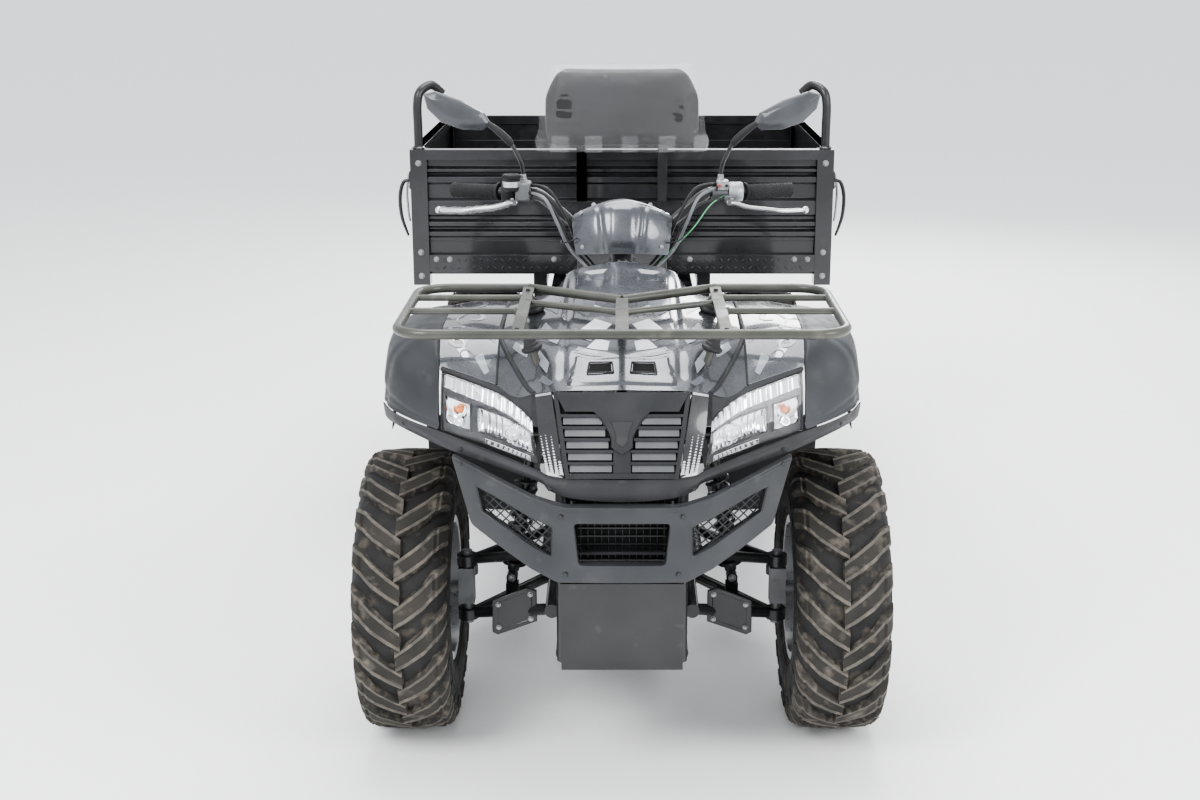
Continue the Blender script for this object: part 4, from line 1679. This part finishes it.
springs.make("coil_over_shocks", "chassis", "front_shocks", smooth=45)

arms = Kit()
GUARD = [(190, 345), (212, 352), (290, 322), (290, 246), (278, 240), (190, 272)]
for s in (-1, 1):
    def guard_ring(y, f):
        return [at(s * (240 + (x - 240) * f), y, 296 + (z - 296) * f) for x, z in GUARD]
    rows = [guard_ring(y, f) for y, f in ((-88, 1.0), (-93, 1.0), (-94.2, 0.97), (-94.2, 0.78), (-92.2, 0.72),
                                          (-92.2, 0.2))]
    arms.grid(rows, "steel_black", wrap=True)
    arms.add(rows[-1], [list(range(6))], "steel_black")
    for x, z in ((204, 336), (276, 312), (276, 258), (204, 278)):
        bolt(arms, at(s * x, -94, z), (0, -1, 0), 0.0048, "steel")
arms.make("arm_guards", "chassis", slot=NODE_SLOT["front_a_arms"], bevel=0.0006, smooth=30)

fins = Kit()
for k in range(26):
    y = 540 + 13.5 * k
    if y > 890:
        break
    for s in (-1, 1):
        fins.block(at(min(s * 99, s * 104), y, 470), at(max(s * 99, s * 104), y + 4, 600), "cast")
for s in (-1, 1):
    for y in (600, 840):
        fins.lathe([(0, 0.06), (0.006, 0.06), (0.009, 0.052), (0.009, 0.03), (0.006, 0.026), (0.006, 0.0002)],
                   at(s * 99.5, y, 392), (s, 0, 0), "cast", sides=40)
        for k in range(6):
            t = 2 * math.pi * k / 6
            bolt(fins, at(s * 105, y + 54 * math.cos(t), 392 + 54 * math.sin(t)), (s, 0, 0), 0.004, "steel")
fins.make("engine_covers", "chassis", slot=NODE_SLOT["engine_block"], bevel=0.0006, smooth=35)

mats = Kit()
for s in (-1, 1):
    for i in range(12):
        for j in range(13):
            x, y = 244 + 19 * i, 486 + 46 * j
            if y > 1080:
                continue
            lo_x, hi_x = sorted((s * x, s * (x + 11)))
            mats.prism([at(lo_x, y, 349.2), at(hi_x, y, 349.2), at(hi_x, y + 32, 349.2),
                        at(lo_x, y + 32, 349.2)],
                       Vector((0, 0, 3.2 * MM)), "soft_rubber")
mats.make("footwell_treads", "chassis", slot=NODE_SLOT["footwells"], bevel=0.0008, smooth=30)

silencer = Kit()
silencer.lathe([(x * MM, r * MM) for x, r in ((-162, 1), (-162, 52), (-158, 60.6), (-120, 60.8),
                                              (-118, 61.6), (-112, 61.6),
                                              (-110, 60.8), (110, 60.8), (112, 61.6), (118, 61.6),
                                              (120, 60.8), (158, 60.6),
                                              (162, 52), (162, 1))], at(0, 2100, 500), (1, 0, 0),
               "exhaust", sides=56)
silencer.make("silencer_shell", "chassis", slot=NODE_SLOT["exhaust"], smooth=40)


# --- Floor, light and camera ------------------------------------------------
stage_mat = bpy.data.materials.new("stage")
stage_mat.use_nodes = True
stage_mat.node_tree.nodes["Principled BSDF"].inputs["Base Color"].default_value = (1, 1, 1, 1)
stage_mat.node_tree.nodes["Principled BSDF"].inputs["Roughness"].default_value = 0.9
bpy.ops.mesh.primitive_plane_add(size=60, location=(0, 0, 0))
floor = bpy.context.object
floor.name = "floor"
floor.data.materials.append(stage_mat)

world = bpy.data.worlds.new("studio")
bpy.context.scene.world = world
world.use_nodes = True
sky = world.node_tree.nodes["Background"]
sky.inputs["Color"].default_value = (0.95, 0.97, 1.0, 1)
sky.inputs["Strength"].default_value = 1.15


def lamp(name, place, aim, size, power):
    light = bpy.data.lights.new(name, "AREA")
    light.shape, light.size, light.energy = "DISK", size, power
    obj = bpy.data.objects.new(name, light)
    obj.location = place
    obj.rotation_euler = (Vector(aim) - Vector(place)).to_track_quat("-Z", "Y").to_euler()
    bpy.context.collection.objects.link(obj)


lamp("key", (-2.6, -4.2, 4.2), (0, -0.6, 0.7), 2.6, 190)
lamp("fill", (3.4, -3.6, 2.6), (0, -0.6, 0.7), 2.4, 110)
lamp("top", (0, 0.6, 5.0), (0, 0, 0.6), 3.4, 170)
lamp("back", (1.5, 5.0, 3.2), (0, 0.6, 0.8), 2.6, 130)

cam_data = bpy.data.cameras.new("camera")
cam = bpy.data.objects.new("camera", cam_data)
bpy.context.collection.objects.link(cam)
WIDTH_PX, FOCAL_PX, PITCH = 1200, 1640, 15.344
cam_data.sensor_width = 36
cam_data.lens = 36 * FOCAL_PX / WIDTH_PX
cam_data.shift_x = -22 / WIDTH_PX
cam.location = at(0, -3500, 1720)
cam.rotation_euler = (math.radians(90 - PITCH), 0, 0)
cam_data.clip_end = 100
bpy.context.scene.camera = cam
bpy.context.scene.view_settings.view_transform = "AgX"
bpy.context.scene.view_settings.look = "AgX - Medium High Contrast"

bpy.context.view_layer.update()
